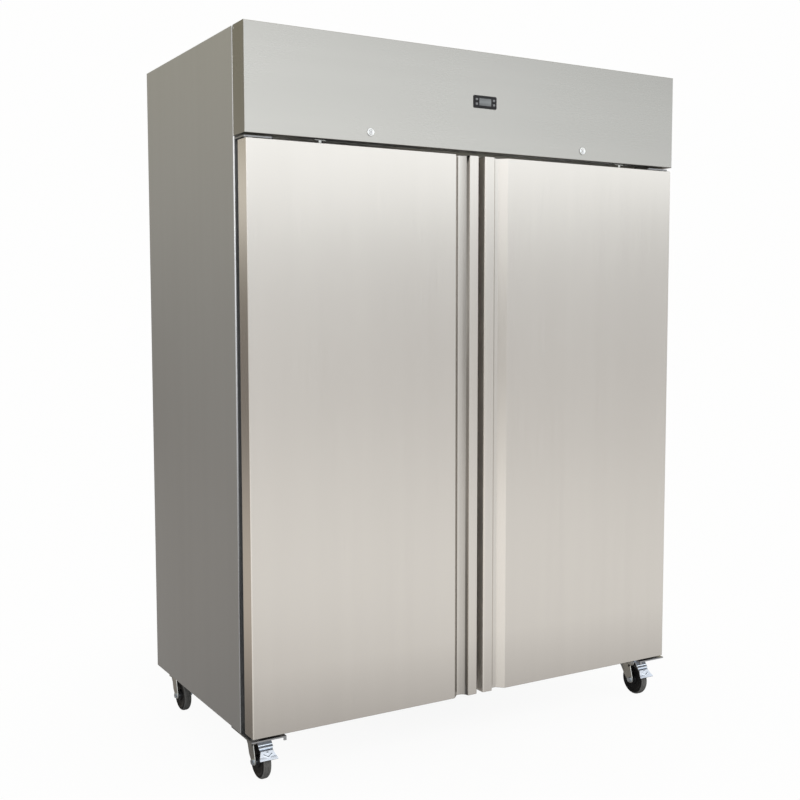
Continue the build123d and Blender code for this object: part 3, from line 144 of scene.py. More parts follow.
class FreezerStage(bpy.types.PropertyGroup):
    """Camera, floor and light."""

    place: FloatVectorProperty(
        name="Camera", description="Place of the camera", default=(-1.89159, -3.13247, 1.28969), size=3,
        subtype="TRANSLATION",
    )
    yaw: angle("Yaw", 0.53178, "Turn of the camera from +Y to +X")
    pitch: angle("Pitch", -0.07922, "Lift of the camera's view")
    roll: angle("Roll", -0.00135, "Turn of the camera about its view")
    lens: FloatProperty(
        name="Lens", description="Focal length on a 36 mm square frame", default=50.906,
        subtype="DISTANCE_CAMERA",
    )
    fill: paint("Fill", (0.62, 0.62, 0.62), "Even light of the room on dull surfaces")
    floor: paint("Floor", (0.86, 0.86, 0.855), "Colour of the floor")
    key: FloatProperty(
        name="Key light", description="Power of the large soft lamp", default=110.0, min=0.0, unit="POWER",
    )
    shadow: share("Shadow", 0.08, "How much of the floor's own shading the camera sees")
    reach: length("Shadow reach", 1.4, "Distance at which the floor's shading has faded out")


# Surfaces on grids: the distance that merges points, the shortest run, and the limit of a corner's mitre

MERGE = 1e-6
TINY = 1e-12
MITRE = 0.5


def put(name, data):
    """A new object in the scene."""
    thing = bpy.data.objects.new(name, data)
    bpy.context.scene.collection.objects.link(thing)
    return thing


def lay(name, parts, sharp=32.0):
    """One mesh object from (points, faces) parts, hard at its rims and where faces meet at a sharp angle.

    Doubles are merged and the faces turned outwards.
    """
    points, faces, start = [], [], 0
    for vertices, polygons in parts:
        points.append(np.asarray(vertices, float).reshape(-1, 3))
        faces.extend([[i + start for i in polygon] for polygon in polygons])
        start += len(points[-1])
    mesh = bpy.data.meshes.new(name)
    mesh.from_pydata(np.vstack(points).tolist(), [], faces)
    work = bmesh.new()
    work.from_mesh(mesh)
    bmesh.ops.remove_doubles(work, verts=work.verts, dist=MERGE)
    bmesh.ops.dissolve_degenerate(work, edges=work.edges, dist=0.5 * MERGE)
    bmesh.ops.recalc_face_normals(work, faces=work.faces)
    work.to_mesh(mesh)
    work.free()
    mesh.shade_smooth()
    mesh.set_sharp_from_angle(angle=math.radians(sharp))
    edges, hard = np.empty(len(mesh.loops), int), np.empty(len(mesh.edges), bool)
    mesh.loops.foreach_get("edge_index", edges)
    mesh.edges.foreach_get("use_edge_sharp", hard)
    rim = np.bincount(edges, minlength=len(hard)) == 1
    mesh.edges.foreach_set("use_edge_sharp", hard | rim)
    return put(name, mesh)


def weave(grid, around=False, along=False):
    """Quads between the rows and columns of an (n, m, 3) grid, closed round a row or along the columns."""
    n, m = grid.shape[:2]
    index = np.arange(n * m).reshape(n, m)
    if around:
        index = np.concatenate([index, index[:, :1]], 1)
    if along:
        index = np.concatenate([index, index[:1]], 0)
    quads = np.stack([index[:-1, :-1], index[:-1, 1:], index[1:, 1:], index[1:, :-1]], -1)
    return grid.reshape(-1, 3), quads.reshape(-1, 4).tolist()


def capped(grid):
    """The grid closed round its rows, with one face over the first row and one over the last."""
    points, faces = weave(grid, around=True)
    count, total = grid.shape[1], len(points)
    return points, faces + [list(range(count))[::-1], list(range(total - count, total))]


def mirror(part):
    """The part mirrored in X, its faces still pointing outwards."""
    return np.asarray(part[0], float) * (-1.0, 1.0, 1.0), [polygon[::-1] for polygon in part[1]]


def shift(part, x, y, z):
    """The part moved."""
    return np.asarray(part[0], float) + (x, y, z), part[1]


def stand(part):
    """A plate drawn in X and Y and raised along Z, set up in Y and Z and raised along X."""
    return part[0][:, [2, 0, 1]], part[1]


def middle(low, high):
    """The middle of a box."""
    return (np.asarray(low) + high) / 2


def circle(steps):
    """Cosines and sines of equal steps round a circle."""
    t = np.linspace(0, 2 * math.pi, steps, endpoint=False)
    return np.cos(t), np.sin(t)


def rounded(corners, radii, steps=6, closed=True):
    """A flat line through corners, each cut by an arc that touches both its runs.

    The points of an arc are its centre + radius * (cos t, sin t).
    """
    corners = np.asarray(corners, float)
    radii = np.broadcast_to(radii, len(corners))
    line = []
    for i, corner in enumerate(corners):
        end = not closed and i in (0, len(corners) - 1)
        if end or radii[i] <= 0:
            line.append(corner[None])
            continue
        before, after = corners[i - 1] - corner, corners[(i + 1) % len(corners)] - corner
        a, b = before / np.linalg.norm(before), after / np.linalg.norm(after)
        half = math.acos(np.clip(a @ b, -1, 1)) / 2
        centre = corner + (a + b) / np.linalg.norm(a + b) * radii[i] / math.sin(half)
        first = corner + a * radii[i] / math.tan(half) - centre
        out = corner - centre
        turn = (math.pi - 2 * half) * np.sign(first[0] * out[1] - first[1] * out[0])
        t = math.atan2(first[1], first[0]) + np.linspace(0, 1, steps + 1) * turn
        line.append(centre + radii[i] * np.stack([np.cos(t), np.sin(t)], 1))
    return np.vstack(line)


def left_of(run):
    """Unit normals to the left of flat runs."""
    return np.stack([-run[:, 1], run[:, 0]], 1) / np.maximum(np.linalg.norm(run, axis=1), TINY)[:, None]


def inset(outline, amount):
    """A closed line moved to its left by an amount, each corner along the mean of its two normals."""
    mean = left_of(outline - np.roll(outline, 1, 0)) + left_of(np.roll(outline, -1, 0) - outline)
    return outline + amount * mean * 2 / np.maximum((mean * mean).sum(1), MITRE)[:, None]


def prism(outline, low, high, bevel):
    """A closed anticlockwise outline raised from low to high, its rims drawn in by a bevel."""
    rings = ((low, bevel), (low + bevel, 0.0), (high - bevel, 0.0), (high, bevel))
    return capped(np.stack([
        np.column_stack([inset(outline, drawn), np.full(len(outline), z)]) for z, drawn in rings
    ]))


def turn_profile(profile, axis, centre, steps=48, ring=False):
    """Surface of revolution: a line of (along, radius) carried round an axis; a ring's line is closed."""
    cos, sin = circle(steps)
    along, radius = np.asarray(profile, float).T[:, :, None]
    a, u, v = np.broadcast_arrays(along, radius * cos, radius * sin)
    order = {"x": (a, u, v), "y": (v, a, u), "z": (u, v, a)}[axis]
    grid = np.stack(order, -1) + np.asarray(centre, float)
    return weave(grid, around=True, along=True) if ring else capped(grid)


def soft_box(low, high, radius, steps=3):
    """A box with every edge rounded: a sphere's grid of directions n, split at its octants.

    A point is its octant's corner, drawn in by the radius, plus radius * n.
    """
    low, high = np.asarray(low, float), np.asarray(high, float)
    q = np.linspace(0, math.pi / 2, steps + 1)
    turn = np.concatenate([q + k * math.pi / 2 for k in range(4)])
    lift = np.concatenate([-q[::-1], q])[:, None]
    level = np.cos(lift)
    n = np.stack(np.broadcast_arrays(level * np.cos(turn), level * np.sin(turn), np.sin(lift)), -1)
    sign = np.stack(np.broadcast_arrays(
        np.repeat([1.0, -1.0, -1.0, 1.0], steps + 1), np.repeat([1.0, 1.0, -1.0, -1.0], steps + 1),
        np.repeat([-1.0, 1.0], steps + 1)[:, None],
    ), -1)
    return capped((low + high) / 2 + sign * ((high - low) / 2 - radius) + radius * n)


def rod(a, b, radius, steps=10):
    """A round bar between two points of one height: circles of the radius across the line."""
    a, b = np.asarray(a, float), np.asarray(b, float)
    along = (b - a) / np.linalg.norm(b - a)
    u = np.cross(along, (0.0, 0.0, 1.0))
    cos, sin = circle(steps)
    ring = radius * (cos[:, None] * u + sin[:, None] * np.cross(along, u))
    return capped(np.stack([a + ring, b + ring]))


def tube_loop(line, z, radius, steps=10):
    """A round wire along a closed flat line: a circle across the line at each point."""
    run = np.roll(line, -1, 0) - np.roll(line, 1, 0)
    side = -left_of(run)
    cos, sin = circle(steps)
    x = line[:, :1] + radius * cos * side[:, :1]
    y = line[:, 1:] + radius * cos * side[:, 1:]
    return weave(np.stack(np.broadcast_arrays(x, y, z + radius * sin), -1), around=True, along=True)


def level_face(points, z):
    """One level face through plan points."""
    return np.column_stack([np.asarray(points, float), np.full(len(points), z)]), [list(range(len(points)))]


def upright_face(points, y):
    """One upright face through (x, z) points."""
    points = np.asarray(points, float)
    return np.insert(points, 1, y, axis=1), [list(range(len(points)))]


# Shader arithmetic


class Wire:
    """A socket that takes part in arithmetic: each operator adds one Math node."""

    def __init__(self, finish, socket):
        self.finish = finish
        self.socket = socket

    def math(self, operation, *values):
        """A Math node of that operation on the values."""
        return self.finish.add("ShaderNodeMath", {"operation": operation}, dict(enumerate(values)))

    def __add__(self, other):
        return self.math("ADD", self, other)

    def __sub__(self, other):
        return self.math("SUBTRACT", self, other)

    def __rsub__(self, other):
        return self.math("SUBTRACT", other, self)

    def __mul__(self, other):
        return self.math("MULTIPLY", self, other)

    def __truediv__(self, other):
        return self.math("DIVIDE", self, other)

    def __pow__(self, other):
        return self.math("POWER", self, other)

    def __lt__(self, other):
        return self.math("LESS_THAN", self, other)

    def __gt__(self, other):
        return self.math("GREATER_THAN", self, other)

    def __abs__(self):
        return self.math("ABSOLUTE", self)

    __radd__ = __add__

    def clamp(self):
        """The value held between 0 and 1."""
        return self.finish.add("ShaderNodeClamp", inputs={"Value": self})

    def ramp(self, start, run):
        """Nought at the start, one when the value has gone on by the run."""
        return ((self - start) / run).clamp()

    def swing(self, amount):
        """How far a noise is from its middle, times an amount."""
        return (self - 0.5) * amount


class Finish:
    """The node tree of a material or the world, under construction."""

    def __init__(self, owner):
        owner.use_nodes = True
        self.owner = owner
        self.tree = owner.node_tree
        self.tree.nodes.clear()

    def add(self, kind, settings=None, inputs=None, output=0):
        """A node of that type: its settings first, then the values or links of its sockets."""
        node = self.tree.nodes.new(kind)
        for key, value in (settings or {}).items():
            if key == "stops":
                while len(node.color_ramp.elements) < len(value):
                    node.color_ramp.elements.new(0.5)
                for element, (at, colour) in zip(node.color_ramp.elements, value):
                    element.position = at
                    element.color = (*colour, 1.0)
            else:
                setattr(node, key, value)
        for key, value in (inputs or {}).items():
            socket = node.inputs[key]
            if isinstance(value, Wire):
                self.tree.links.new(value.socket, socket)
            else:
                socket.default_value = (*value, 1.0) if socket.type == "RGBA" and len(value) == 3 else value
        return Wire(self, node.outputs[output])

    def where(self, kind="Object"):
        """Coordinates of the surface, or of a direction in the world."""
        return self.add("ShaderNodeTexCoord", output=kind)

    def place(self, kind="Object"):
        """The coordinates x, y and z."""
        x = self.add("ShaderNodeSeparateXYZ", inputs={"Vector": self.where(kind)})
        return x, *(Wire(self, socket) for socket in x.socket.node.outputs[1:])

    def noise(self, scale, detail=2.0, roughness=0.5, stretch=(1.0, 1.0, 1.0)):
        """Noise on Object coordinates, drawn out by the stretch."""
        where = self.add("ShaderNodeMapping", inputs={"Vector": self.where(), "Scale": stretch})
        return self.add("ShaderNodeTexNoise", inputs={
            "Vector": where, "Scale": scale, "Detail": detail, "Roughness": roughness,
        })

    def between(self, mask, first, second):
        """A colour that goes from the first to the second with the mask."""
        return self.add("ShaderNodeMix", {"data_type": "RGBA"}, {0: mask, 6: first, 7: second}, output=2)

    def tint(self, colour, factor):
        """A colour times a varying factor."""
        return self.add("ShaderNodeVectorMath", {"operation": "SCALE"}, {0: colour, "Scale": factor})

    def bump(self, height, strength, distance):
        """A Normal from a height."""
        inputs = {"Height": height, "Strength": strength, "Distance": distance}
        return self.add("ShaderNodeBump", inputs=inputs)

    def show(self, shader, output="ShaderNodeOutputMaterial"):
        """Links a shader to the tree's output and gives back the material or world."""
        self.tree.links.new(shader.socket, self.tree.nodes.new(output).inputs["Surface"])
        return self.owner

    def close(self, **sockets):
        """Ends a material: sockets named with _ for a space go to the Principled shader."""
        inputs = {name.replace("_", " "): value for name, value in sockets.items()}
        return self.show(self.add("ShaderNodeBsdfPrincipled", inputs=inputs))


def material(name):
    """The empty node tree of a new material."""
    return Finish(bpy.data.materials.new(name))


# Painted light. Doors: start, skew, fade and dark of the painted shade in the grip, clear strips, edges with
# their painted highlights and roughness, and the painted shade at the foot

GRIP_START, GRIP_SKEW, GRIP_FADE, GRIP_DARK = 0.007, 0.013, 1.3, 0.5
LIP_CLEAR, FACE_CLEAR = 0.0003, 0.0006
FREE_EDGE, FREE_PALE, FREE_DULL = 0.0004, 0.35, 0.30
HINGE_EDGE, HINGE_PALE = 0.0008, 0.30
FOOT_TOP, FOOT_FADE, FOOT_DARK = 0.32, 0.18, 0.14
# Header, all painted light: its level at the origin and the painted fall of light along X and Z, and the
# painted shade on its edges
HEADER_LEVEL, HEADER_ALONG, HEADER_UP = 1.62, 0.16, 0.35
HEADER_EDGE, HEADER_LIP, HEADER_END = 0.0008, 0.65, 0.48
# Sides: the front fold's depth, the width and brightness of its painted highlight, the painted shade low
# down, the highlight's fade at the top corner, and the painted shadow of the door on its inner part
FOLD_DEPTH, FOLD_WIDTH, FOLD_BRIGHT = 0.0012, 0.0045, 1.75
LOW_SHADE_TOP, LOW_SHADE_FADE, LOW_SHADE_DARK = 1.75, 1.25, 2.0
CORNER_DOWN, CORNER_FADE, CORNER_DARK = 0.09, 0.05, 1.1
INNER_FROM, INNER_FADE, INNER_DARK, INNER_LIFT = 1.45, 0.3, 0.6, 0.25
# Locks: how far a plug and a ring keep their shine behind the sleeves' front, and the painted shade past it
PLUG_SHINE, RING_SHINE, LOCK_PAINTED_SHADE = 0.0004, 0.0012, 0.78


def door_painted_light(door):
    """Painted light on the doors: painted shade in the scoop of the grip and at the foot.

    The free edges are dull and get a painted highlight; the hinge edges get a painted highlight.
    """
    start = door.face_end - door.slope - door.floor
    lip = start - door.depth
    low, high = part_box("right_door_skin")

    # Painted shade in the grip and at the foot, painted highlights on the free and hinge edges, and extra
    # roughness on the free edges.
    def marks(f):
        x, y, z = f.place()
        across = abs(x)
        grip = ((start + GRIP_START - (x > 0.0) * GRIP_SKEW - across) / (GRIP_FADE * door.depth)).clamp()
        grip = grip * (across > lip + LIP_CLEAR) * (y > low[1] + FACE_CLEAR)
        edge = across < low[0] + FREE_EDGE
        hinge = across > high[0] - HINGE_EDGE
        foot = z.ramp(FOOT_TOP, -FOOT_FADE)
        level = 1.0 - grip * GRIP_DARK + edge * FREE_PALE + hinge * HINGE_PALE - foot * FOOT_DARK
        return level, edge * FREE_DULL

    return marks


def header_painted_light(f):
    """Painted light on the header: it falls off to the right and upwards, and its turned-under lip and two
    ends get painted shade.
    """
    low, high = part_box("fascia_panel")
    x, _, z = f.place()
    lip, end = z < low[2] + HEADER_EDGE, abs(x) > high[0] - HEADER_EDGE
    # Painted fall of light across the header, and painted shade on its lip and ends.
    return HEADER_LEVEL - x * HEADER_ALONG - z * HEADER_UP - lip * HEADER_LIP - end * HEADER_END, 0.0


def side_painted_light(f):
    """Painted light on the front fold: a painted highlight, painted shade low down and at the top corner, and
    the door's painted shadow where it turns in.
    """
    x, y, z = f.place()
    low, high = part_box("right_side_panel")
    # Painted highlight on the front fold, fading into painted shade low down and at the top corner; painted
    # shadow of the door on its inner part.
    low_shade = z.ramp(LOW_SHADE_TOP, -LOW_SHADE_FADE)
    corner = z.ramp(high[2] - CORNER_DOWN, CORNER_FADE)
    fold_highlight = FOLD_BRIGHT - low_shade * LOW_SHADE_DARK - corner * CORNER_DARK
    door_shadow = INNER_DARK - z.ramp(INNER_FROM, INNER_FADE) * INNER_LIFT
    fold = y < low[1] + FOLD_DEPTH
    return 1.0 + fold * ((abs(x) > high[0] - FOLD_WIDTH) * fold_highlight - door_shadow), 0.0


# Finishes: how streaks and bands of brushed sheet are drawn out, and colours of clouds, scuffs, the painted
# shade between fins, and tarnish

GRAIN = 60.0
BAND_ALONG, BAND_ACROSS = 0.35, 15.0
CLOUD_COOL, CLOUD_PALE = (0.86, 0.92, 1.02), 1.12
SCUFF = (0.19, 0.188, 0.18)
FIN_GAP_SHADE = (0.05, 0.05, 0.05)
COPPER, TARNISH = (0.62, 0.26, 0.13), (0.30, 0.13, 0.075)
WINDOW = (0.135, 0.145, 0.150)


def brushed(name, colour, grain, roughness, brushing, ripple, turned=0.0, painted_light=None, streak=0.09):
    """Brushed sheet: fine streaks and broad bands along the grain, smears, and a slow ripple.

    Painted light comes as a factor on the colour, with an added roughness.
    """
    f = material(name)
    stretch = [1.0 if axis == grain else GRAIN for axis in "xyz"]
    fine = f.noise(14.0, detail=3.0, roughness=0.65, stretch=stretch)
    broad = f.noise(1.6, stretch=[BAND_ALONG if axis == grain else BAND_ACROSS for axis in "xyz"])
    smear = f.noise(1.1, roughness=0.55)
    level = fine.swing(streak) + broad.swing(0.045) + smear.swing(0.05) + 1.0
    rough = fine.swing(0.6 * streak) + smear.swing(0.08) + roughness
    if painted_light:
        factor, added = painted_light(f)
        level, rough = level * factor, rough + added
    wave = f.noise(1.4, detail=1.0, roughness=0.4)
    return f.close(
        Base_Color=f.tint(colour, level), Metallic=1.0, Roughness=rough, Anisotropic=brushing,
        Anisotropic_Rotation=turned, Normal=f.bump(wave, ripple, distance=0.02),
    )


def plated(name, colour, roughness=0.32, shade=None):
    """Plated steel: cool clouds, faint drawing marks and pale worn spots; painted shade past the depth shade
    in Y.
    """
    f = material(name)
    cloud = f.noise(42.0, detail=3.0, roughness=0.6)
    mark = f.noise(180.0, stretch=(1.0, 1.0, 5.0))
    cool = [c * k for c, k in zip(colour, CLOUD_COOL)]
    pale = [min(1.0, c * CLOUD_PALE) for c in colour]
    level = mark.swing(0.18) + 1.0
    if shade is not None:
        # Painted shade on the plug and ring behind their shine.
        level = level * (1.0 - (f.place()[1] > shade) * LOCK_PAINTED_SHADE)
    return f.close(
        Base_Color=f.tint(f.between(cloud, cool, pale), level), Metallic=1.0,
        Roughness=cloud.swing(0.22) + mark.swing(0.1) + roughness,
        Normal=f.bump(mark, strength=0.06, distance=0.001),
    )


def galvanised(name, colour):
    """Galvanised sheet, dull with age: spangles of differing brightness and roughness."""
    f = material(name)
    cell = f.add("ShaderNodeTexVoronoi", inputs={"Vector": f.where(), "Scale": 75.0}, output="Color")
    spangle = f.add("ShaderNodeSeparateColor", inputs={"Color": cell})
    cloud = f.noise(3.0, detail=3.0, roughness=0.6)
    return f.close(
        Base_Color=f.tint(colour, spangle.swing(0.18) + cloud.swing(0.12) + 1.0), Metallic=0.45,
        Roughness=spangle.swing(0.18) + 0.42, Normal=f.bump(cloud, strength=0.05, distance=0.01),
    )


def moulded(name, colour, roughness=0.45, grain=900.0, depth=0.12, spread=0.10, coat=0.0, shine=0.5):
    """Moulded plastic, rubber or paint: a fine grain and a slight drift of colour and gloss."""
    f = material(name)
    fine = f.noise(grain, roughness=0.6)
    drift = f.noise(9.0, detail=3.0, roughness=0.55)
    return f.close(
        Base_Color=f.tint(colour, drift.swing(2 * spread) + fine.swing(spread) + 1.0),
        Roughness=drift.swing(0.16) + fine.swing(0.08) + roughness, Specular_IOR_Level=shine,
        Coat_Weight=coat, Normal=f.bump(fine, depth, distance=0.0006),
    )


def worn_rubber(name, colour):
    """Wheel rubber: black side walls, a tread scuffed grey by the floor, and dust in the grain."""
    f = material(name)
    scuff = f.noise(90.0, detail=4.0, roughness=0.65)
    grit = f.noise(700.0, roughness=0.6)
    tread = f.add("ShaderNodeAttribute", {"attribute_name": TREAD}, output="Fac")
    worn = (tread * 0.6 + (scuff - 0.6) * 0.5).clamp()
    return f.close(
        Base_Color=f.between(worn, colour, SCUFF), Roughness=grit.swing(0.2) + 0.42 + tread * 0.08,
        Specular_IOR_Level=0.18, Normal=f.bump(grit, strength=0.15, distance=0.0005),
    )


def finned(name, colour, pitch):
    """Coil fins: thin bright edges with painted shade in the gaps between them, across X."""
    f = material(name)
    x = f.place()[0]
    # Painted shade in the gaps between the fins.
    gap = x.math("FRACT", x / pitch) > 0.45
    dirt = f.noise(30.0, detail=3.0, roughness=0.6)
    return f.close(
        Base_Color=f.between(gap * 0.8, colour, FIN_GAP_SHADE), Metallic=0.9, Roughness=dirt.swing(0.3) + 0.42,
        Normal=f.bump(dirt, strength=0.08, distance=0.002),
    )


def copper(name):
    """Copper pipe: bright metal with brown tarnish in patches."""
    f = material(name)
    patch = f.noise(38.0, detail=4.0, roughness=0.6)
    return f.close(
        Base_Color=f.between(patch, COPPER, TARNISH), Metallic=1.0, Roughness=patch * 0.4 + 0.15,
        Normal=f.bump(patch, strength=0.05, distance=0.001),
    )


def smoked(name):
    """The display window: dark tinted cover with a soft clear coat."""
    f = material(name)
    haze = f.noise(60.0)
    return f.close(
        Base_Color=f.tint(WINDOW, haze.swing(0.2) + 1.0), Roughness=haze.swing(0.06) + 0.16,
        Coat_Weight=0.4, Normal=f.bump(haze, strength=0.02, distance=0.0005),
    )


def finishes(context):
    """Every finish of the cabinet by name, made once."""
    if "brushed_door" in bpy.data.materials:
        return {m.name: m for m in bpy.data.materials}
    scene = context.scene
    steel, caster, fitting = scene.freezer_steel, scene.freezer_caster, scene.freezer_fittings
    # The doors' painted light: painted shade in the grip and at the foot, painted highlights on the edges.
    wavy, painted_light = steel.ripple, door_painted_light(scene.freezer_door)
    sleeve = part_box("lock_sleeves")[0][1]
    made = [
        brushed("brushed_door", steel.door, "z", steel.roughness, steel.brushing, wavy, painted_light=painted_light),
        # Header and sides take painted light as well.
        brushed(
            "brushed_header", steel.header, "x", roughness=0.27, brushing=0.75, ripple=wavy, turned=0.25,
            painted_light=header_painted_light, streak=0.03,
        ),
        brushed(
            "brushed_side", steel.side, "z", roughness=0.50, brushing=0.0, ripple=wavy, painted_light=side_painted_light,
            streak=0.06,
        ),
        brushed("brushed_inside", steel.inside, "z", roughness=0.36, brushing=0.5, ripple=0.05),
        plated("hinge_plate", (0.34, 0.335, 0.33), roughness=0.42),
        # Plug and ring: painted shade past their shine.
        plated("lock_steel", (0.72, 0.70, 0.67), roughness=0.34, shade=sleeve + PLUG_SHINE),
        plated("chrome_plate", (0.92, 0.90, 0.85), roughness=0.20, shade=sleeve + RING_SHINE),
        plated("zinc_plate", caster.zinc),
        plated("fork_zinc", (0.50, 0.49, 0.45)),
        plated("pedal_zinc", (0.80, 0.84, 0.88), roughness=0.24),
        galvanised("galvanised_sheet", (0.56, 0.57, 0.58)),
        moulded("cream_foam", (0.72, 0.66, 0.48), roughness=0.85, grain=260.0, depth=0.5),
        moulded("white_liner", (0.78, 0.78, 0.77), roughness=0.35, grain=500.0, depth=0.05, spread=0.03),
        moulded("gasket_rubber", fitting.gasket, roughness=0.55, grain=700.0, depth=0.1),
        moulded("white_nylon", (0.72, 0.71, 0.68), roughness=0.42),
        moulded(
            "wire_coating", (0.66, 0.67, 0.68), roughness=0.34, grain=600.0, depth=0.06, spread=0.05,
            coat=0.2,
        ),
        moulded("fan_moulding", (0.030, 0.031, 0.033), roughness=0.42),
        moulded(
            "enamel_paint", (0.022, 0.022, 0.023), roughness=0.24, grain=160.0, depth=0.18, spread=0.12,
            coat=0.3,
        ),
        moulded("grey_moulding", (0.34, 0.35, 0.36), roughness=0.48),
        moulded("bezel_plastic", fitting.bezel, roughness=0.38, grain=1400.0, depth=0.08, shine=0.25),
        moulded("key_moulding", (0.16, 0.165, 0.17), roughness=0.50),
        worn_rubber("scuffed_rubber", caster.rubber),
        finned("coil_fins", (0.60, 0.61, 0.62), pitch=0.0028),
        copper("tarnished_copper"),
        smoked("smoked_window"),
    ]
    return {m.name: m for m in made}


FINISH_OF_SLOT = {
    "stainless_side": "brushed_side", "stainless_front": "brushed_door",
    "stainless_inside": "brushed_inside", "galvanised": "galvanised_sheet", "foam": "cream_foam",
    "white_plastic": "white_liner", "gasket": "gasket_rubber", "nylon": "white_nylon",
    "zinc": "zinc_plate", "wheel_rubber": "scuffed_rubber", "coated_wire": "wire_coating",
    "fin_aluminium": "coil_fins", "fan_plastic": "fan_moulding",
    "black_enamel": "enamel_paint", "copper": "tarnished_copper", "grey_plastic": "grey_moulding",
    "black_plastic": "bezel_plastic", "display": "smoked_window", "key_plastic": "key_moulding",
    "lock_chrome": "chrome_plate",
}
FINISH_OF_NODE = {
    "fascia_panel": "brushed_header", "door_hinge_plates": "hinge_plate", "left_lock_plug": "lock_steel",
    "right_lock_plug": "lock_steel",
}


def wear(piece, finish):
    """Gives a piece its material."""
    piece.data.materials.clear()
    piece.data.materials.append(finish)


def fit(piece, body, slot, finish, *nodes):
    """A new piece rides on its body, takes its finish and stands for the CAD nodes. The slot is not used."""
    wear(piece, finish)
    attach(piece, body)
    if nodes:
        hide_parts(*nodes)


class FREEZER_OT_finishes(bpy.types.Operator):
    """Give every solid of the cabinet its finish"""

    bl_idname = "freezer.finishes"
    bl_label = "Finishes"

    def execute(self, context):
        made = finishes(context)
        slots = {part["node"]: part["material_slot"] for part in frame["record"]["subparts"]}
        for name, node in NODES.items():
            wear(node, made[FINISH_OF_NODE.get(name, FINISH_OF_SLOT[slots[name]])])
        return {"FINISHED"}


# Doors: the lock cam's pocket in the right door's top (x and y from and to), and flats kept beside folds

LOCK_POCKET = (0.36, 0.4083, -0.374, -0.3635)
POCKET_DEPTH, POCKET_MARGIN = 0.013, 0.05
FLAT = 0.001
LIP_RUN, LIP_FOLD, LIP_GAP = 0.004, 0.0007, 0.0005
# Section of a gasket: distance from the outer edge, and share of the depth from the door backwards
GASKET = np.array([
    (0.003, 0.0), (0.003, 0.30), (0.0055, 0.36), (0.001, 0.42), (0.0005, 0.55), (0.0025, 0.66),
    (0.0, 0.76), (0.0, 0.93), (0.0012, 1.0), (0.0168, 1.0), (0.018, 0.93), (0.018, 0.76),
    (0.0155, 0.66), (0.0175, 0.55), (0.017, 0.42), (0.0125, 0.36), (0.015, 0.30), (0.015, 0.0),
])


def door_plan(door, x0, x1, y0, y1, splits):
    """Plan of the right door's sheet from its rear hinge corner to the end of the grip.

    It runs round the bend, along the face, down the slope, over the floor, up the quarter-round scoop and
    round the rolled grip. The scoop's points are (scoop - depth * cos t, front + depth * sin t).
    """
    floor_end = door.face_end - door.slope
    scoop = floor_end - door.floor
    lip = scoop - door.depth
    guard = door.bend + FLAT
    splits = (x1 - guard, *splits, door.face_end + door.fold + FLAT)
    corners = [
        (x1, y1), (x1, y0 + guard), (x1, y0), *((x, y0) for x in splits), (door.face_end, y0),
        (floor_end, y0 + door.depth), (scoop, y0 + door.depth),
    ]
    radii = [0, 0, door.bend, *(0 for x in splits), door.fold, door.fold, 0]
    first = rounded(corners, radii, steps=8, closed=False)
    t = np.linspace(math.pi / 2, 0, 17)[1:-1]
    arc = np.stack([scoop - door.depth * np.cos(t), y0 + door.depth * np.sin(t)], 1)
    arc = arc[arc[:, 1] > y0 + LIP_RUN + LIP_GAP]
    grip = [(lip, y0 + LIP_RUN), (lip, y0), (x0, y0), (x0, y1)]
    return np.vstack([first, arc, rounded(grip, [0, LIP_FOLD, door.grip, 0], steps=14, closed=False)])


def door_skin(door, low, high):
    """The plan carried up the door, drawn in at both ends, with a foot and a top round the lock pocket."""
    (x0, y0, z0), (x1, y1, z1) = low, high
    a, b = LOCK_POCKET[:2]
    plan = door_plan(door, x0, x1, y0, y1, (b, a, a - POCKET_MARGIN))
    edge = door.edge
    rings = []
    for z, drawn in ((z0, edge), (z0 + edge, 0.0), (z1 - edge, 0.0), (z1, edge)):
        x = np.clip(plan[:, 0], x0 + drawn, x1 - drawn)
        y = plan[:, 1] + drawn * (plan[:, 1] < y1 - MERGE)
        rings.append(np.column_stack([x, y, np.full(len(plan), z)]))
    return [weave(np.stack(rings)), level_face(rings[0][:, :2], z0), *door_top(rings[-1], y1)]


def door_top(rim, y1):
    """Top of the door: faces before, beside and behind the pocket, and the pocket's walls and floor."""
    a, b, c, d = LOCK_POCKET
    split = a - POCKET_MARGIN
    z, y0 = rim[0, 2], rim[:, 1].min()
    near = rim[rim[:, 0] < split + MERGE][:, :2]
    far = rim[rim[:, 0] > b - MERGE][:, :2]
    mouth = [(a, c), (b, c), (b, d), (a, d)]
    points, faces = weave(np.stack([level_face(mouth, at)[0] for at in (z, z - POCKET_DEPTH)]), around=True)
    tops = (
        [*near, (split, y1)], [*far, (b, c), (b, d), (b, y1)],
        [(split, y0), (split, y1), (a, y1), (a, d), (a, c), (a, y0)],
        [(a, y0), (a, c), (b, c), (b, y0)], [(a, d), (a, y1), (b, y1), (b, d)],
    )
    return [*(level_face(top, z) for top in tops), (points, faces + [[4, 5, 6, 7]])]


def gasket_ring(low, high):
    """The gasket's section set in at each corner of the door's frame and carried round it."""
    width, share_back = GASKET.T
    y = low[1] + (high[1] - low[1]) * share_back
    left, right, foot, top = (low[0], 1.0), (high[0], -1.0), (low[2], 1.0), (high[2], -1.0)
    return weave(np.stack([
        np.column_stack([x + inwards * width, y, z + upwards * width])
        for (x, inwards), (z, upwards) in ((left, foot), (right, foot), (right, top), (left, top))
    ]), around=True, along=True)


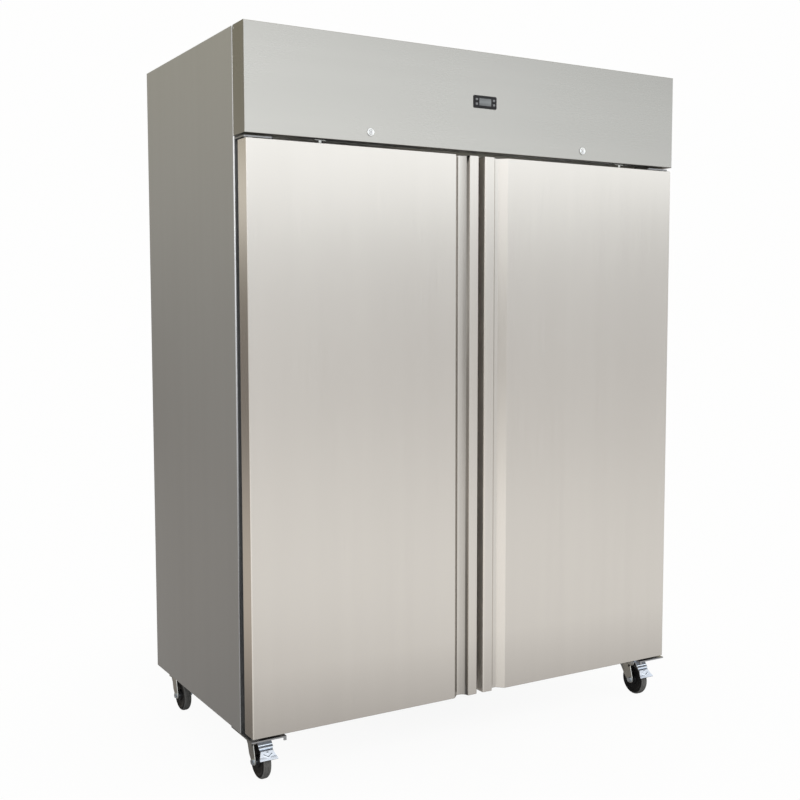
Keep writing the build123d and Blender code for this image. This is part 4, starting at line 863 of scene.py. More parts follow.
class FREEZER_OT_doors(bpy.types.Operator):
    """Fold the two door skins with their full-height handles"""

    bl_idname = "freezer.doors"
    bl_label = "Door skins"

    def execute(self, context):
        made = finishes(context)
        door = context.scene.freezer_door
        parts = door_skin(door, *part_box("right_door_skin"))
        for side, sign in SIDES:
            folded = parts if sign > 0 else [mirror(part) for part in parts]
            piece = lay(f"{side}_door_sheet", folded, sharp=28.0)
            wall = piece.modifiers.new("sheet", "SOLIDIFY")
            wall.thickness = door.sheet
            wall.offset = -1.0
            fit(piece, f"{side}_door", "stainless_front", made["brushed_door"], f"{side}_door_skin")
        return {"FINISHED"}


class FREEZER_OT_gaskets(bpy.types.Operator):
    """Carry the bellows of the gaskets round the doors"""

    bl_idname = "freezer.gaskets"
    bl_label = "Gaskets"

    def execute(self, context):
        made = finishes(context)
        ring = gasket_ring(*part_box("right_door_gasket"))
        for side, sign in SIDES:
            piece = lay(f"{side}_door_bellows", [ring if sign > 0 else mirror(ring)], sharp=40.0)
            fit(piece, f"{side}_door", "gasket", made["gasket_rubber"], f"{side}_door_gasket")
        return {"FINISHED"}


# Header: radii of a lock ring's bore and neck, and its flange

LOCK_BORE, LOCK_NECK, LOCK_FLANGE = 0.00655, 0.009, 0.0025
# Controller: depth of the rim, its step to the case, corners and flat band, and its edge (depth, drawn in)
RIM_DEPTH, RIM_STEP, RIM_ROUND, RIM_BAND = 0.0025, np.array((0.005, 0.004)), 0.004, 0.0045
RIM_EDGE = ((0.0010, 0.0), (0.0003, 0.0003), (0.0, 0.0010))
# Window and keys: depth of the openings, sinking of the cover, play round a key, edges, decimals of the grid
WINDOW_DEPTH, WINDOW_SUNK, WINDOW_ROUND = 0.0016, 0.0003, 0.0004
KEY_DEPTH, KEY_GAP, KEY_ROUND = 0.004, 0.0003, 0.0011
GRID_DIGITS = 6


def lock_ring(low, high):
    """The right lock's ring, turned about its axis: neck, flange, round rim and a dish to the bore."""
    front, back, radius = low[1], high[1], (high[2] - low[2]) / 2
    profile = [
        (back, LOCK_BORE), (back, LOCK_NECK), (front + LOCK_FLANGE, LOCK_NECK),
        (front + LOCK_FLANGE, radius), (front + 0.0015, radius), (front + 0.0007, radius - 0.0003),
        (front + 0.0001, radius - 0.0012), (front, radius - 0.0022), (front + 0.0002, LOCK_BORE + 0.0010),
        (front + 0.0009, LOCK_BORE),
    ]
    return turn_profile(profile, "y", (high[0] - radius, 0.0, (low[2] + high[2]) / 2), steps=40, ring=True)


def bezel_parts(low, high, window):
    """Controller: a rounded rim drawn in at the front over a case behind.

    Its face is a grid with openings at the window and the key wells.
    """
    face, back = low[1], low[1] + RIM_DEPTH
    (x0, x1), (z0, z1) = (low[0], high[0]), (low[2], high[2])
    outline = rounded([(x0, z0), (x1, z0), (x1, z1), (x0, z1)], RIM_ROUND)
    centre, half = np.array((x0 + x1, z0 + z1)) / 2, np.array((x1 - x0, z1 - z0)) / 2
    edge = [(face + y, drawn) for y, drawn in RIM_EDGE]
    rings = []
    for y, drawn in [(high[1], RIM_STEP), (back, RIM_STEP), (back, 0.0), *edge]:
        rings.append(upright_face(centre + (outline - centre) * (1 - drawn / half), y)[0])
    points, faces = weave(np.stack(rings), around=True)
    holes = [(window[0][0], window[1][0], window[0][2], window[1][2], WINDOW_DEPTH)]
    for key in KEYS:
        a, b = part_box(f"{key}_key")
        holes.append((a[0] - KEY_GAP, b[0] + KEY_GAP, a[2] - KEY_GAP, b[2] + KEY_GAP, KEY_DEPTH))
    inner = rings[-1][:, [0, 2]]
    start, end = inner.min(0) + RIM_BAND, inner.max(0) - RIM_BAND
    xs = np.unique(np.round([start[0], end[0], *(x for h in holes for x in h[:2])], GRID_DIGITS))
    zs = np.unique(np.round([start[1], end[1], *(z for h in holes for z in h[2:4])], GRID_DIGITS))
    parts = [(points, faces + [list(range(len(outline)))]), *border(inner, xs, zs, face)]
    for a, b in zip(xs[:-1], xs[1:]):
        for c, d in zip(zs[:-1], zs[1:]):
            if not any(h[0] < (a + b) / 2 < h[1] and h[2] < (c + d) / 2 < h[3] for h in holes):
                parts.append(upright_face([(a, c), (b, c), (b, d), (a, d)], face))
    return parts + [well(hole, xs, zs, face) for hole in holes]


def grid_sides(xs, zs):
    """The grid points along the four sides of a frame, anticlockwise from its lowest corner."""
    return [
        [(x, zs[0]) for x in xs], [(xs[-1], z) for z in zs], [(x, zs[-1]) for x in xs[::-1]],
        [(xs[0], z) for z in zs[::-1]],
    ]


def border(inner, xs, zs, face):
    """The band between a rounded line and a grid inside it: a fan at each corner, a strip at each side."""
    count = len(inner) // 4
    parts = []
    for k, side in enumerate(grid_sides(xs, zs)):
        arc = inner[k * count:(k + 1) * count]
        parts.append(upright_face([side[0], *arc], face))
        parts.append(upright_face([arc[-1], inner[(k + 1) * count % len(inner)], *side[::-1]], face))
    return parts


def well(hole, xs, zs, face):
    """Walls and floor of an opening, with a point wherever a grid line meets its edge."""
    x0, x1, z0, z1, depth = hole
    xs = xs[(xs > x0 - MERGE) & (xs < x1 + MERGE)]
    zs = zs[(zs > z0 - MERGE) & (zs < z1 + MERGE)]
    line = [point for side in grid_sides(xs, zs) for point in side[:-1]]
    points, faces = weave(np.stack([upright_face(line, y)[0] for y in (face, face + depth)]), around=True)
    return points, faces + [list(range(len(line), 2 * len(line)))]


class FREEZER_OT_header(bpy.types.Operator):
    """Turn the lock rings and mould the controller with its window and keys"""

    bl_idname = "freezer.header"
    bl_label = "Locks and controller"

    def execute(self, context):
        made = finishes(context)
        ring = lock_ring(*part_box("lock_sleeves"))
        piece = lay("lock_rings", [ring, mirror(ring)], sharp=40.0)
        fit(piece, "fascia", "lock_chrome", made["chrome_plate"], "lock_sleeves")

        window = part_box("display_window")
        piece = lay("controller_bezel", bezel_parts(*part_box("controller_case"), window), sharp=35.0)
        fit(piece, "fascia", "black_plastic", made["bezel_plastic"], "controller_case")
        sunk = np.array(window[0]) + (0.0, WINDOW_SUNK, 0.0)
        piece = lay("display_cover", [soft_box(sunk, window[1], WINDOW_ROUND)])
        fit(piece, "fascia", "display", made["smoked_window"], "display_window")

        for key in KEYS:
            piece = lay(f"{key}_button", [soft_box(*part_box(f"{key}_key"), KEY_ROUND, steps=4)])
            fit(piece, f"{key}_key", "key_plastic", made["key_moulding"], f"{key}_key")
        return {"FINISHED"}


# Casters: the swivel axis ahead of a fork's rear side, half length and bore of a hub, radius of a sleeve

SWIVEL = 0.033
HUB, BORE, SLEEVE = 0.0140, 0.00505, 0.0090
# Tread: where the scuffing starts inside the wheel's radius and its fade, and a worn line on each shoulder
SCUFF_IN, SCUFF_FADE = 0.006, 0.005
LINE_IN, LINE_HALF, LINE_WORN = 0.0035, 0.0009, 0.7
# Fork: height of the cup, the axle ahead of the swivel axis and over the floor, its eye, the legs' sheet
CUP = 0.013
AXLE_Y, AXLE_Z, EYE = -0.032, 0.05, 0.011
LEG, LEG_BEND, LEG_HALF, LEG_CROWD, LEG_RIM = 0.0215, 0.006, 0.0015, 0.8, 0.8
# Edges of the legs: where they leave the eye, how far under the cup they turn, and their places in Y
REAR_FOOT, REAR_DOWN, REAR_Y = 0.0434, (0.012, 0.004), (-0.0232, 0.025, 0.030)
FRONT_FOOT, FRONT_KNEE, FRONT_DOWN = 0.0456, 0.058, 0.008
FRONT_Y = (-0.0421, -0.043, -0.032, -0.030)
# The rolling in of the rear edge, and the outline of an ear
ROLL, ROLL_START, ROLL_LOW, ROLL_FADE = 0.0045, 0.55, 0.064, 0.02
EAR = (
    (-0.024, 0.088), (-0.035, 0.100), (-0.0455, 0.1035), (-0.0455, 0.1140), (-0.036, 0.1145),
    (-0.024, 0.1065),
)
EAR_ROUND = 0.003
# Pedal: its pin in from the box's corner, centre line and its bends, half width along it, half the sheet
PIN = 0.005
PEDAL_LINE = (
    (0.0025, 0.00375), (-0.0150, 0.00375), (-0.0285, -0.0135), (-0.0270, -0.0166), (-0.0325, -0.0195),
    (-0.0415, -0.0325), (-0.0500, -0.0405),
)
PEDAL_BENDS = (0, 0.005, 0.0014, 0.0012, 0.003, 0.016, 0)
PEDAL_AT = (0, 0.12, 0.15, 0.52, 0.56, 0.66, 0.93, 0.985, 1.0)
PEDAL_HALF = (0.019, 0.019, 0.020, 0.021, 0.0188, 0.0184, 0.0260, 0.0270, 0.0264)
PEDAL_SHEET = 0.00115
# Its pressings: height, then place and size as shares of its length and half width; the section of its boss
VEE, VEE_TIP, VEE_SPREAD, VEE_WIDTH, VEE_END, VEE_FADE = 0.0013, 0.89, 0.20, 0.018, 0.62, 0.08
DIMPLE, DIMPLE_AT, DIMPLE_LONG, DIMPLE_WIDE = 0.0008, 0.72, 0.03, 0.16
GROOVE, GROOVE_AT, GROOVE_WIDTH = 0.0009, 0.42, 0.018
BOSS = (
    (-0.0192, 0.00305), (-0.0192, 0.0046), (-0.0188, 0.005), (0.0188, 0.005), (0.0192, 0.0046),
    (0.0192, 0.00305),
)


def swivel_axis(low, high):
    """Where the swivel axis of a fork's box stands."""
    return (low[0] + high[0]) / 2, high[1] - SWIVEL


def wheel_profile(caster, radius):
    """Half section of a wheel as (along, radius): hub, dished web, side wall, shoulder and grooved tread."""
    half, r = caster.tyre, caster.tread
    t = np.linspace(0, math.pi / 2, 9)
    shoulder = np.stack([half - r + r * np.cos(t), radius - r + r * np.sin(t)], 1)
    side = [
        (HUB, BORE), (HUB, 0.0160), (HUB - 0.0010, 0.0170), (half - 0.0022, 0.0176),
        (half - 0.0026, 0.0200), (half - 0.0022, radius - 0.0165), (half - 0.0004, radius - 0.0150),
        (half, radius - 0.0138), (half, radius - 0.0108), (half + 0.0003, radius - 0.0102),
        (half, radius - 0.0096),
    ]
    return np.vstack([side, shoulder, [(0.0012, radius), (0.0, radius - 0.0006)]])


def wheel(caster, low, high):
    """A wheel turned about its axle from its half section and the mirrored half."""
    half = wheel_profile(caster, (high[2] - low[2]) / 2)
    line = np.vstack([half, (half[:-1] * (-1, 1))[::-1]])
    return turn_profile(line, "x", middle(low, high), steps=64, ring=True)


def spacers(low, high):
    """The two sleeves that stand between a wheel's hub and the fork, turned about the axle."""
    end = (high[0] - low[0]) / 2
    line = [
        (HUB, BORE), (HUB, SLEEVE - 0.0002), (HUB + 0.0004, SLEEVE), (end - 0.0006, SLEEVE),
        (end, SLEEVE - 0.0006), (end, BORE),
    ]
    sleeve = turn_profile(line, "x", (0.0, 0.0, 0.0), steps=32, ring=True)
    return [shift(part, *middle(low, high)) for part in (sleeve, mirror(sleeve))]


def mark_tread(piece, low, high):
    """Writes how far each point of a wheel belongs to its tread, by its distance from the axle."""
    mesh = piece.data
    points = np.empty(3 * len(mesh.vertices))
    mesh.vertices.foreach_get("co", points)
    away = np.linalg.norm((points.reshape(-1, 3) - middle(low, high))[:, 1:], axis=1)
    depth = (high[2] - low[2]) / 2 - away
    scuffed = np.clip((SCUFF_IN - depth) / SCUFF_FADE, 0, 1)
    line = np.abs(LINE_IN - depth) < LINE_HALF
    mesh.attributes.new(TREAD, "FLOAT", "POINT").data.foreach_set("value", scuffed + LINE_WORN * line)


def fork_cup(base, top):
    """The cup of the swivel bearing, turned about the swivel axis."""
    return turn_profile([
        (base - 0.0005, 0.0), (base - 0.0005, 0.026), (base, 0.031), (base + 0.0015, 0.0328),
        (base + 0.0035, 0.033), (top - 0.003, 0.0300), (top - 0.0008, 0.0285), (top, 0.0265), (top, 0.0),
    ], "z", (0.0, 0.0, 0.0))


def fork_sheet(base):
    """The fork's sheet: a U of leg, bend, top, bend and leg, from its front edge to its inrolled rear edge.

    A point is the U's middle line plus or minus half the sheet along its normal. The legs end round the
    axle's eye.
    """
    ceiling, foot = base + LEG_HALF, AXLE_Z - EYE
    t = np.linspace(0, math.pi / 2, 7)
    leg = foot + (ceiling - LEG_BEND - foot) * (1 - np.linspace(0, 1, 30)[1:] ** LEG_CROWD)
    top = np.linspace(0, LEG - LEG_BEND, 4)[:-1]
    x = np.concatenate([top, LEG - LEG_BEND + LEG_BEND * np.sin(t), np.full(len(leg), LEG)])
    z = np.concatenate([np.full(len(top), ceiling), ceiling - LEG_BEND + LEG_BEND * np.cos(t), leg])
    nx = np.concatenate([np.zeros(len(top)), np.sin(t), np.ones(len(leg))])
    nz = np.sqrt(1 - nx * nx)
    chord = np.sqrt(np.maximum(EYE ** 2 - (z - AXLE_Z) ** 2, 0))
    rear = np.interp(z, [REAR_FOOT, *(base - down for down in REAR_DOWN)], REAR_Y)
    rear = np.where(z > REAR_FOOT, rear, AXLE_Y + chord)
    front = np.interp(z, [FRONT_FOOT, FRONT_KNEE, base - FRONT_DOWN, base], FRONT_Y)
    front = np.where(z > FRONT_FOOT, front, AXLE_Y - chord)
    x, nx = (np.concatenate([-v[:0:-1], v])[:, None] for v in (x, nx))
    z, nz, rear, front = (np.concatenate([v[:0:-1], v])[:, None] for v in (z, nz, rear, front))
    across = np.linspace(0, 1, 15)
    y = front + (rear - front) * across
    roll = ROLL * np.clip((across - ROLL_START) / (1 - ROLL_START), 0, 1) ** 2
    roll = roll * np.clip((z - ROLL_LOW) / ROLL_FADE, 0, 1) * np.abs(nx)

    def layer(off, y, roll):
        """The U at an offset along its normal."""
        return np.stack(np.broadcast_arrays(x + nx * (off - roll), y, z + nz * off), -1)

    rim = LEG_RIM * LEG_HALF
    return capped(np.concatenate([
        layer(LEG_HALF, y, roll), layer(0.0, y[:, -1:] + rim, roll[:, -1:]),
        layer(-LEG_HALF, y[:, ::-1], roll[:, ::-1]), layer(0.0, y[:, :1] - rim, 0.0),
    ], 1))


def fork_parts(caster, low, high, braked):
    """Pressed fork: the sheet under the bearing's cup; a braked one has an ear on each leg for the pin."""
    top = high[2]
    parts = [fork_cup(top - CUP, top), fork_sheet(top - CUP)]
    if braked:
        ear = stand(prism(rounded(EAR, EAR_ROUND, steps=4), LEG - LEG_HALF, LEG + LEG_HALF, caster.edge))
        parts += [ear, mirror(ear)]
    return [shift(part, *swivel_axis(low, high), 0.0) for part in parts]


def pedal_sheet():
    """The pedal's bent sheet about its pin, its half width following its length.

    A point is the centre line plus the half width across and half a thickness along the normal. It is pressed
    with a V, a dimple and a groove, each a bell, exp(-(distance / width) ** 2).
    """
    line = rounded(PEDAL_LINE, PEDAL_BENDS, closed=False)
    run = np.concatenate([[0], np.cumsum(np.linalg.norm(np.diff(line, axis=0), axis=1))])
    fine = np.linspace(0, run[-1], 84)
    line = np.column_stack([np.interp(fine, run, line[:, 0]), np.interp(fine, run, line[:, 1])])
    along = (fine / run[-1])[:, None]
    half = np.interp(along, PEDAL_AT, PEDAL_HALF)
    across = np.linspace(-1, 1, 41)
    tangent = np.gradient(line, axis=0)
    tangent /= np.linalg.norm(tangent, axis=1)[:, None]
    normal = np.column_stack([tangent[:, 1], -tangent[:, 0]])
    normal *= np.sign(normal[0, 1])
    vee = np.exp(-((along - VEE_TIP + VEE_SPREAD * np.abs(across)) / VEE_WIDTH) ** 2)
    vee *= np.clip((VEE_END - np.abs(across)) / VEE_FADE, 0, 1)
    dimple = np.exp(-((along - DIMPLE_AT) / DIMPLE_LONG) ** 2 - (across / DIMPLE_WIDE) ** 2)
    groove = np.exp(-((along - GROOVE_AT) / GROOVE_WIDTH) ** 2)
    lift = VEE * vee + DIMPLE * dimple - GROOVE * groove

    def layer(off):
        """The sheet at an offset along its normal."""
        y, z = (line[:, k:k + 1] + normal[:, k:k + 1] * (off + lift) for k in (0, 1))
        return np.stack(np.broadcast_arrays(half * across, y, z), -1)

    return capped(np.concatenate([layer(PEDAL_SHEET), layer(-PEDAL_SHEET)[:, ::-1]], 1))


def pedal_parts(low, high):
    """Brake pedal: the bent sheet and the boss round its pin."""
    boss = turn_profile(BOSS, "x", (0.0, 0.0, 0.0), steps=28, ring=True)
    pin = (low[0] + high[0]) / 2, high[1] - PIN, high[2] - PIN
    return [shift(part, *pin) for part in (pedal_sheet(), boss)]


class FREEZER_OT_casters(bpy.types.Operator):
    """Turn the wheels and press the forks and brake pedals"""

    bl_idname = "freezer.casters"
    bl_label = "Casters"

    def execute(self, context):
        made = finishes(context)
        caster = context.scene.freezer_caster
        for name in CASTERS:
            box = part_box(f"{name}_wheel")
            piece = lay(f"{name}_tyre", [wheel(caster, *box)], sharp=40.0)
            mark_tread(piece, *box)
            fit(piece, f"{name}_wheel", "wheel_rubber", made["scuffed_rubber"], f"{name}_wheel")
            piece = lay(f"{name}_spacers", spacers(*box), sharp=40.0)
            fit(piece, f"{name}_wheel", "zinc", made["zinc_plate"])
            braked = name.startswith("front")
            parts = fork_parts(caster, *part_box(f"{name}_fork"), braked)
            piece = lay(f"{name}_pressed_fork", parts, sharp=35.0)
            fit(piece, f"{name}_caster", "zinc", made["fork_zinc"], f"{name}_fork")
            if braked:
                piece = lay(f"{name}_brake_lever", pedal_parts(*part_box(f"{name}_pedal")), sharp=40.0)
                fit(piece, f"{name}_pedal", "zinc", made["pedal_zinc"], f"{name}_pedal")
        return {"FINISHED"}


# Shelves: inner side, height in the box, corners, ends of the wires, and heights and girth in wire radii

SHELF_INNER, SHELF_LEVELS, SHELF_END, SHELF_ROUND = 0.0145, 3, 0.005, 0.012
WIRE_IN, WIRE_UP, WIRE_THIN = 0.016, 1.9, 0.72
CROSS_IN, CROSS_DOWN = 0.031, 0.6


def shelf_wires(fitting, x0, x1, y0, y1, z):
    """One shelf: a rim bent from round wire, thin wires front to back on top and two cross wires below."""
    r = fitting.wire
    rim = [(x0 + r, y0 + r), (x1 - r, y0 + r), (x1 - r, y1 - r), (x0 + r, y1 - r)]
    wires = [tube_loop(rounded(rim, SHELF_ROUND, steps=5), z + r, r)]
    top, under = z + WIRE_UP * r, z - CROSS_DOWN * r
    for x in np.linspace(x0 + WIRE_IN, x1 - WIRE_IN, fitting.wires):
        wires.append(rod((x, y0 + r, top), (x, y1 - r, top), WIRE_THIN * r, steps=8))
    for y in np.linspace(y0, y1, 4)[1:-1]:
        wires.append(rod((x0 + CROSS_IN, y, under), (x1 - CROSS_IN, y, under), r))
    return wires


class FREEZER_OT_shelves(bpy.types.Operator):
    """Weld the wire shelves: round wires front to back on two cross wires, inside a rim"""

    bl_idname = "freezer.shelves"
    bl_label = "Wire shelves"

    def execute(self, context):
        made = finishes(context)
        low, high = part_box("wire_shelves")
        parts = []
        for z in np.linspace(low[2] + SHELF_END, high[2] - SHELF_END, SHELF_LEVELS):
            shelf = shelf_wires(context.scene.freezer_fittings, SHELF_INNER, high[0], low[1], high[1], z)
            parts += shelf + [mirror(wire) for wire in shelf]
        piece = lay("welded_shelves", parts, sharp=50.0)
        fit(piece, "cabinet", "coated_wire", made["wire_coating"], "wire_shelves")
        return {"FINISHED"}


# Fasteners: a screw's section in radii, screws in a row and their places, then the bolts and the catch

SCREW = np.array([
    (0.0, 1.0), (0.25, 1.0), (0.5, 0.86), (0.62, 0.55), (0.62, 0.34), (0.36, 0.22), (0.36, 0.0),
])
SCREWS, SCREW_IN, SCREW_SUNK, BACK_END, GRILLE_END = 7, 0.012, 0.0004, 0.03, 0.02
BOLT, BOLT_OUT, BOLT_LOW, BOLT_HIGH, BOLT_BEVEL = 0.0065, 0.036, 0.008, 0.0029, 0.0006
CATCH_X, CATCH_BACK, CATCH_ROUND = 0.522, 0.004, 0.0005
CATCH_LEG = ((-0.004, 0.0, -0.0004), (0.004, 0.0016, 0.0085))
CATCH_FLANGE = ((-0.016, 0.0, 0.0072), (0.016, 0.016, 0.0090))


def back_screws(radius):
    """Pan heads down both sides of the back panel and along both edges of the grille, turned about Y."""
    low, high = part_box("back_panel")
    y = high[1] - SCREW_SUNK
    row = np.linspace(low[2] + BACK_END, high[2] - BACK_END, SCREWS)
    centres = [(x, y, z) for z in row for x in (low[0] + SCREW_IN, high[0] - SCREW_IN)]
    low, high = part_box("rear_grille")
    row = np.linspace(low[0] + GRILLE_END, high[0] - GRILLE_END, SCREWS)
    centres += [(x, y, z) for x in row for z in (low[2] + SCREW_IN, high[2] - SCREW_IN)]
    return [turn_profile(radius * SCREW, "y", centre, steps=14) for centre in centres]


def caster_bolts():
    """Hexagon heads under the four corners of each caster's plate."""
    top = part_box("caster_plates")[1][2]
    hexagon = BOLT * np.column_stack(circle(6))
    bolts = []
    for name in CASTERS:
        axis = np.array(swivel_axis(*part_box(f"{name}_fork")))
        for corner in ((-1, -1), (-1, 1), (1, -1), (1, 1)):
            outline = axis + BOLT_OUT * np.array(corner) + hexagon
            bolts.append(prism(outline, top - BOLT_LOW, top - BOLT_HIGH, BOLT_BEVEL))
    return bolts


class FREEZER_OT_fasteners(bpy.types.Operator):
    """Set the screws of the back and the grille, the caster bolts and the catch on top of each door"""

    bl_idname = "freezer.fasteners"
    bl_label = "Fasteners"

    def execute(self, context):
        made = finishes(context)
        piece = lay("back_screws", back_screws(context.scene.freezer_fittings.screw), sharp=40.0)
        fit(piece, "cabinet", "zinc", made["zinc_plate"])
        piece = lay("caster_bolts", caster_bolts(), sharp=30.0)
        fit(piece, "cabinet", "zinc", made["zinc_plate"])
        for side, sign in SIDES:
            low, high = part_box(f"{side}_door_skin")
            foot = np.array((sign * CATCH_X, low[1] + CATCH_BACK, high[2]))
            parts = [soft_box(foot + a, foot + b, CATCH_ROUND) for a, b in (CATCH_LEG, CATCH_FLANGE)]
            piece = lay(f"{side}_door_catch", parts, sharp=30.0)
            fit(piece, f"{side}_door", "zinc", made["fork_zinc"])
        return {"FINISHED"}


# Stage: paper white, the floor's half width, the lamps (place, size, share of the key's power), the camera

PAPER = (0.99, 0.99, 0.988)
FLOOR = 40.0
LAMPS = (("key_lamp", (-0.4, -4.6, 4.4), 3.0, 1.0), ("fill_lamp", (3.4, -3.0, 3.2), 2.4, 0.5))
LAMP_AIM = (0.0, -0.2, 0.9)
SENSOR, FAR = 36.0, 200.0
# What polished metal sees in front, to the left and behind, by half the sine of the elevation plus a half
SKY_AHEAD = [
    (0.0, (0.50, 0.50, 0.50)), (0.29, (0.55, 0.53, 0.51)), (0.335, (0.80, 0.78, 0.75)),
    (0.365, (1.23, 1.22, 1.20)), (0.395, (1.17, 1.16, 1.13)), (0.42, (1.09, 1.08, 1.06)),
    (0.44, (0.98, 0.97, 0.95)), (0.46, (0.86, 0.85, 0.84)), (0.4825, (0.80, 0.80, 0.79)),
    (0.505, (0.98, 0.98, 0.98)), (0.526, (0.72, 0.73, 0.73)), (0.536, (0.82, 0.83, 0.83)),
    (0.55, (1.42, 1.46, 1.47)), (0.566, (1.92, 1.98, 2.01)), (0.607, (1.95, 2.02, 2.05)),
    (0.64, (0.90, 0.91, 0.91)), (0.70, (1.00, 1.00, 1.00)), (0.82, (0.95, 0.95, 0.96)),
    (1.0, (1.40, 1.40, 1.42)),
]
SKY_LEFT = [
    (0.0, (0.50, 0.50, 0.50)), (0.29, (0.75, 0.74, 0.72)), (0.34, (1.20, 1.18, 1.14)),
    (0.374, (1.36, 1.34, 1.30)), (0.42, (1.56, 1.53, 1.48)), (0.445, (0.92, 0.90, 0.87)),
    (0.46, (0.62, 0.61, 0.59)), (0.505, (0.60, 0.59, 0.57)), (0.525, (0.90, 0.90, 0.89)),
    (0.548, (1.60, 1.62, 1.62)), (0.58, (2.10, 2.14, 2.16)), (0.61, (2.05, 2.09, 2.11)),
    (0.64, (0.90, 0.90, 0.90)), (0.70, (1.20, 1.20, 1.18)), (0.82, (0.95, 0.95, 0.95)),
    (1.0, (1.40, 1.40, 1.42)),
]
SKY_BEHIND = [
    (0.0, (0.12, 0.12, 0.12)), (0.29, (0.15, 0.15, 0.15)), (0.335, (0.20, 0.18, 0.16)),
    (0.37, (0.58, 0.52, 0.45)), (0.405, (0.48, 0.44, 0.39)), (0.45, (0.21, 0.19, 0.17)),
    (0.50, (0.19, 0.17, 0.15)), (0.525, (0.34, 0.32, 0.28)), (0.548, (0.94, 0.90, 0.82)),
    (0.565, (0.60, 0.56, 0.48)), (0.587, (0.33, 0.30, 0.24)), (0.62, (0.60, 0.56, 0.42)),
    (0.75, (0.85, 0.78, 0.56)), (1.0, (0.60, 0.60, 0.56)),
]
# Start and run of the turn from behind to the front, two bearings, the front's drift, and the left's turn
SKY_TURN = (0.30, 0.28)
BEARING_FRONT, BEARING_LEFT = (-0.6, -0.8), (-0.83, -0.56)
FRONT_AT, FRONT_TURN, FRONT_LEVEL = 0.57, 0.33, 0.95
LEFT_TURN = (0.75, 0.20)


def pale_floor(stage):
    """The floor: paper white to the camera, with a share of its own shading near the cabinet."""
    f = material("pale_floor")
    x, y, _ = f.place()
    near = (1.0 - (x * x + y * y) ** 0.5 / stage.reach).clamp()
    grit = f.noise(3.0, detail=3.0)
    shade = f.add("ShaderNodeBsdfDiffuse", inputs={"Color": f.tint(stage.floor, grit.swing(0.03) + 1.0)})
    white = f.add("ShaderNodeEmission", inputs={"Color": PAPER})
    seen = f.add("ShaderNodeLightPath", output="Is Camera Ray") * (1.0 - near * stage.shadow)
    return f.show(f.add("ShaderNodeMixShader", inputs={0: seen, 1: shade, 2: white}))


def studio_sky(stage):
    """The world: paper white to the camera, an even fill on dull surfaces and a room in polished ones."""
    f = Finish(bpy.data.worlds.new("studio_sky"))
    x, y, z = f.place("Generated")

    def facing(bearing):
        """One where the direction faces the bearing, nought where it faces away."""
        return (x * bearing[0] + y * bearing[1]) * 0.5 + 0.5

    ahead, behind, left = (
        f.add("ShaderNodeValToRGB", {"stops": stops}, {"Fac": z * 0.5 + 0.5})
        for stops in (SKY_AHEAD, SKY_BEHIND, SKY_LEFT)
    )
    turn = (facing(BEARING_FRONT) - FRONT_AT) * FRONT_TURN + FRONT_LEVEL
    beside = facing(BEARING_LEFT).ramp(*LEFT_TURN)
    front = (0.5 - y * 0.5).ramp(*SKY_TURN)
    room = f.between(front, behind, f.between(beside, f.tint(ahead, turn), left))
    fill, room, white = (
        f.add("ShaderNodeBackground", inputs={"Color": colour}) for colour in (stage.fill, room, PAPER)
    )
    camera_ray = f.add("ShaderNodeLightPath", output="Is Camera Ray")
    glossy_ray = Wire(f, camera_ray.socket.node.outputs["Is Glossy Ray"])
    lit = f.add("ShaderNodeMixShader", inputs={0: glossy_ray, 1: fill, 2: room})
    mixed = f.add("ShaderNodeMixShader", inputs={0: camera_ray, 1: lit, 2: white})
    return f.show(mixed, "ShaderNodeOutputWorld")


def direction(aim):
    """Euler turn of a lamp whose -Z looks along the aim."""
    return math.atan2(math.hypot(aim[0], aim[1]), -aim[2]), 0.0, math.atan2(-aim[0], aim[1])


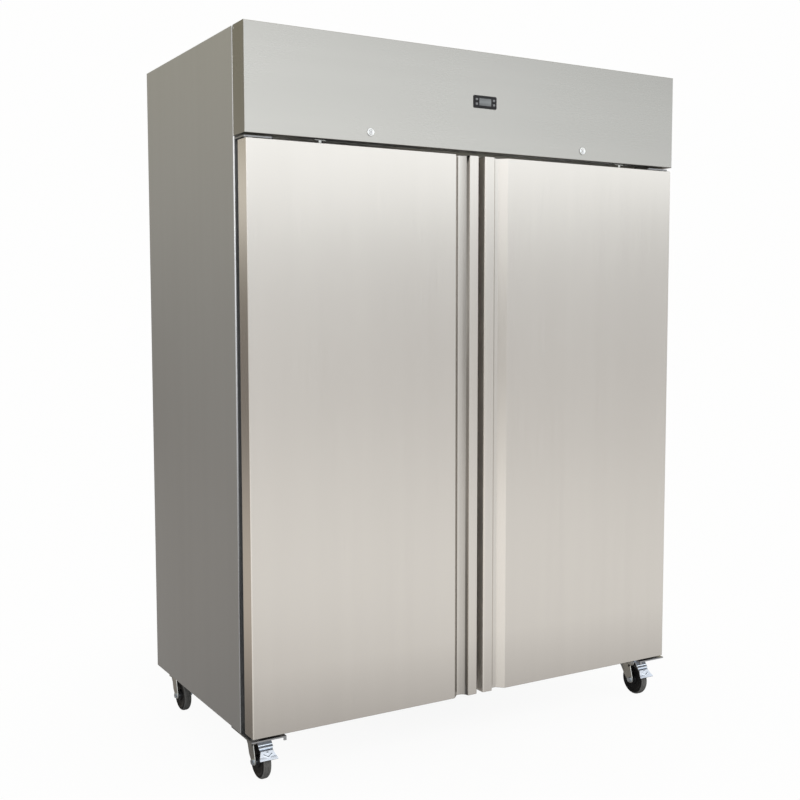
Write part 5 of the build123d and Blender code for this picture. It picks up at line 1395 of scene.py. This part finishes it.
class FREEZER_OT_stage(bpy.types.Operator):
    """Set the floor, the soft light and the camera"""

    bl_idname = "freezer.stage"
    bl_label = "Stage"

    def execute(self, context):
        scene = context.scene
        stage = scene.freezer_stage
        scene.view_settings.view_transform = "Standard"
        scene.world = studio_sky(stage)

        corners = [(-FLOOR, -FLOOR), (FLOOR, -FLOOR), (FLOOR, FLOOR), (-FLOOR, FLOOR)]
        floor = lay("studio_floor", [level_face(corners, 0.0)])
        wear(floor, pale_floor(stage))
        floor.visible_glossy = False

        for name, at, size, part in LAMPS:
            lamp = bpy.data.lights.new(name, "AREA")
            lamp.shape = "SQUARE"
            lamp.size = size
            lamp.energy = part * stage.key
            holder = put(name, lamp)
            holder.location = at
            holder.rotation_euler = direction(np.subtract(LAMP_AIM, at))
            holder.visible_glossy = False
            holder.visible_camera = False

        view = bpy.data.cameras.new("photo_camera")
        view.sensor_fit = "HORIZONTAL"
        view.sensor_width = SENSOR
        view.lens = stage.lens
        view.clip_end = FAR
        camera = put("photo_camera", view)
        camera.location = stage.place
        level = Euler((math.pi / 2 + stage.pitch, 0.0, -stage.yaw)).to_matrix()
        camera.rotation_euler = (level @ Matrix.Rotation(stage.roll, 3, "Z")).to_euler()
        scene.camera = camera
        return {"FINISHED"}


# Panel and registration


class FREEZER_PT_parts(bpy.types.Panel):
    """Lists the pieces and their sizes"""

    bl_idname = "FREEZER_PT_parts"
    bl_label = "Freezer cabinet"
    bl_space_type = "VIEW_3D"
    bl_region_type = "UI"
    bl_category = "Freezer"

    def draw(self, context):
        for operator in OPERATORS:
            self.layout.operator(operator.bl_idname)
        for group in GROUPS:
            holder = getattr(context.scene, group)
            box = self.layout.box()
            for name in holder.__annotations__:
                box.prop(holder, name)


OPERATORS = (
    FREEZER_OT_finishes, FREEZER_OT_doors, FREEZER_OT_gaskets, FREEZER_OT_header, FREEZER_OT_casters,
    FREEZER_OT_shelves, FREEZER_OT_fasteners, FREEZER_OT_stage,
)
GROUPS = {
    "freezer_steel": FreezerSteel, "freezer_door": FreezerDoor, "freezer_caster": FreezerCaster,
    "freezer_fittings": FreezerFittings, "freezer_stage": FreezerStage,
}


def register():
    for group in GROUPS.values():
        bpy.utils.register_class(group)
    for name, group in GROUPS.items():
        setattr(bpy.types.Scene, name, PointerProperty(type=group))
    for operator in OPERATORS:
        bpy.utils.register_class(operator)
    bpy.utils.register_class(FREEZER_PT_parts)


def unregister():
    bpy.utils.unregister_class(FREEZER_PT_parts)
    for operator in reversed(OPERATORS):
        bpy.utils.unregister_class(operator)
    for name in GROUPS:
        delattr(bpy.types.Scene, name)
    for group in reversed(list(GROUPS.values())):
        bpy.utils.unregister_class(group)


def main():
    register()
    bpy.ops.freezer.finishes()
    bpy.ops.freezer.doors()
    bpy.ops.freezer.gaskets()
    bpy.ops.freezer.header()
    bpy.ops.freezer.casters()
    bpy.ops.freezer.shelves()
    bpy.ops.freezer.fasteners()
    bpy.ops.freezer.stage()


if __name__ == "__main__":
    main()
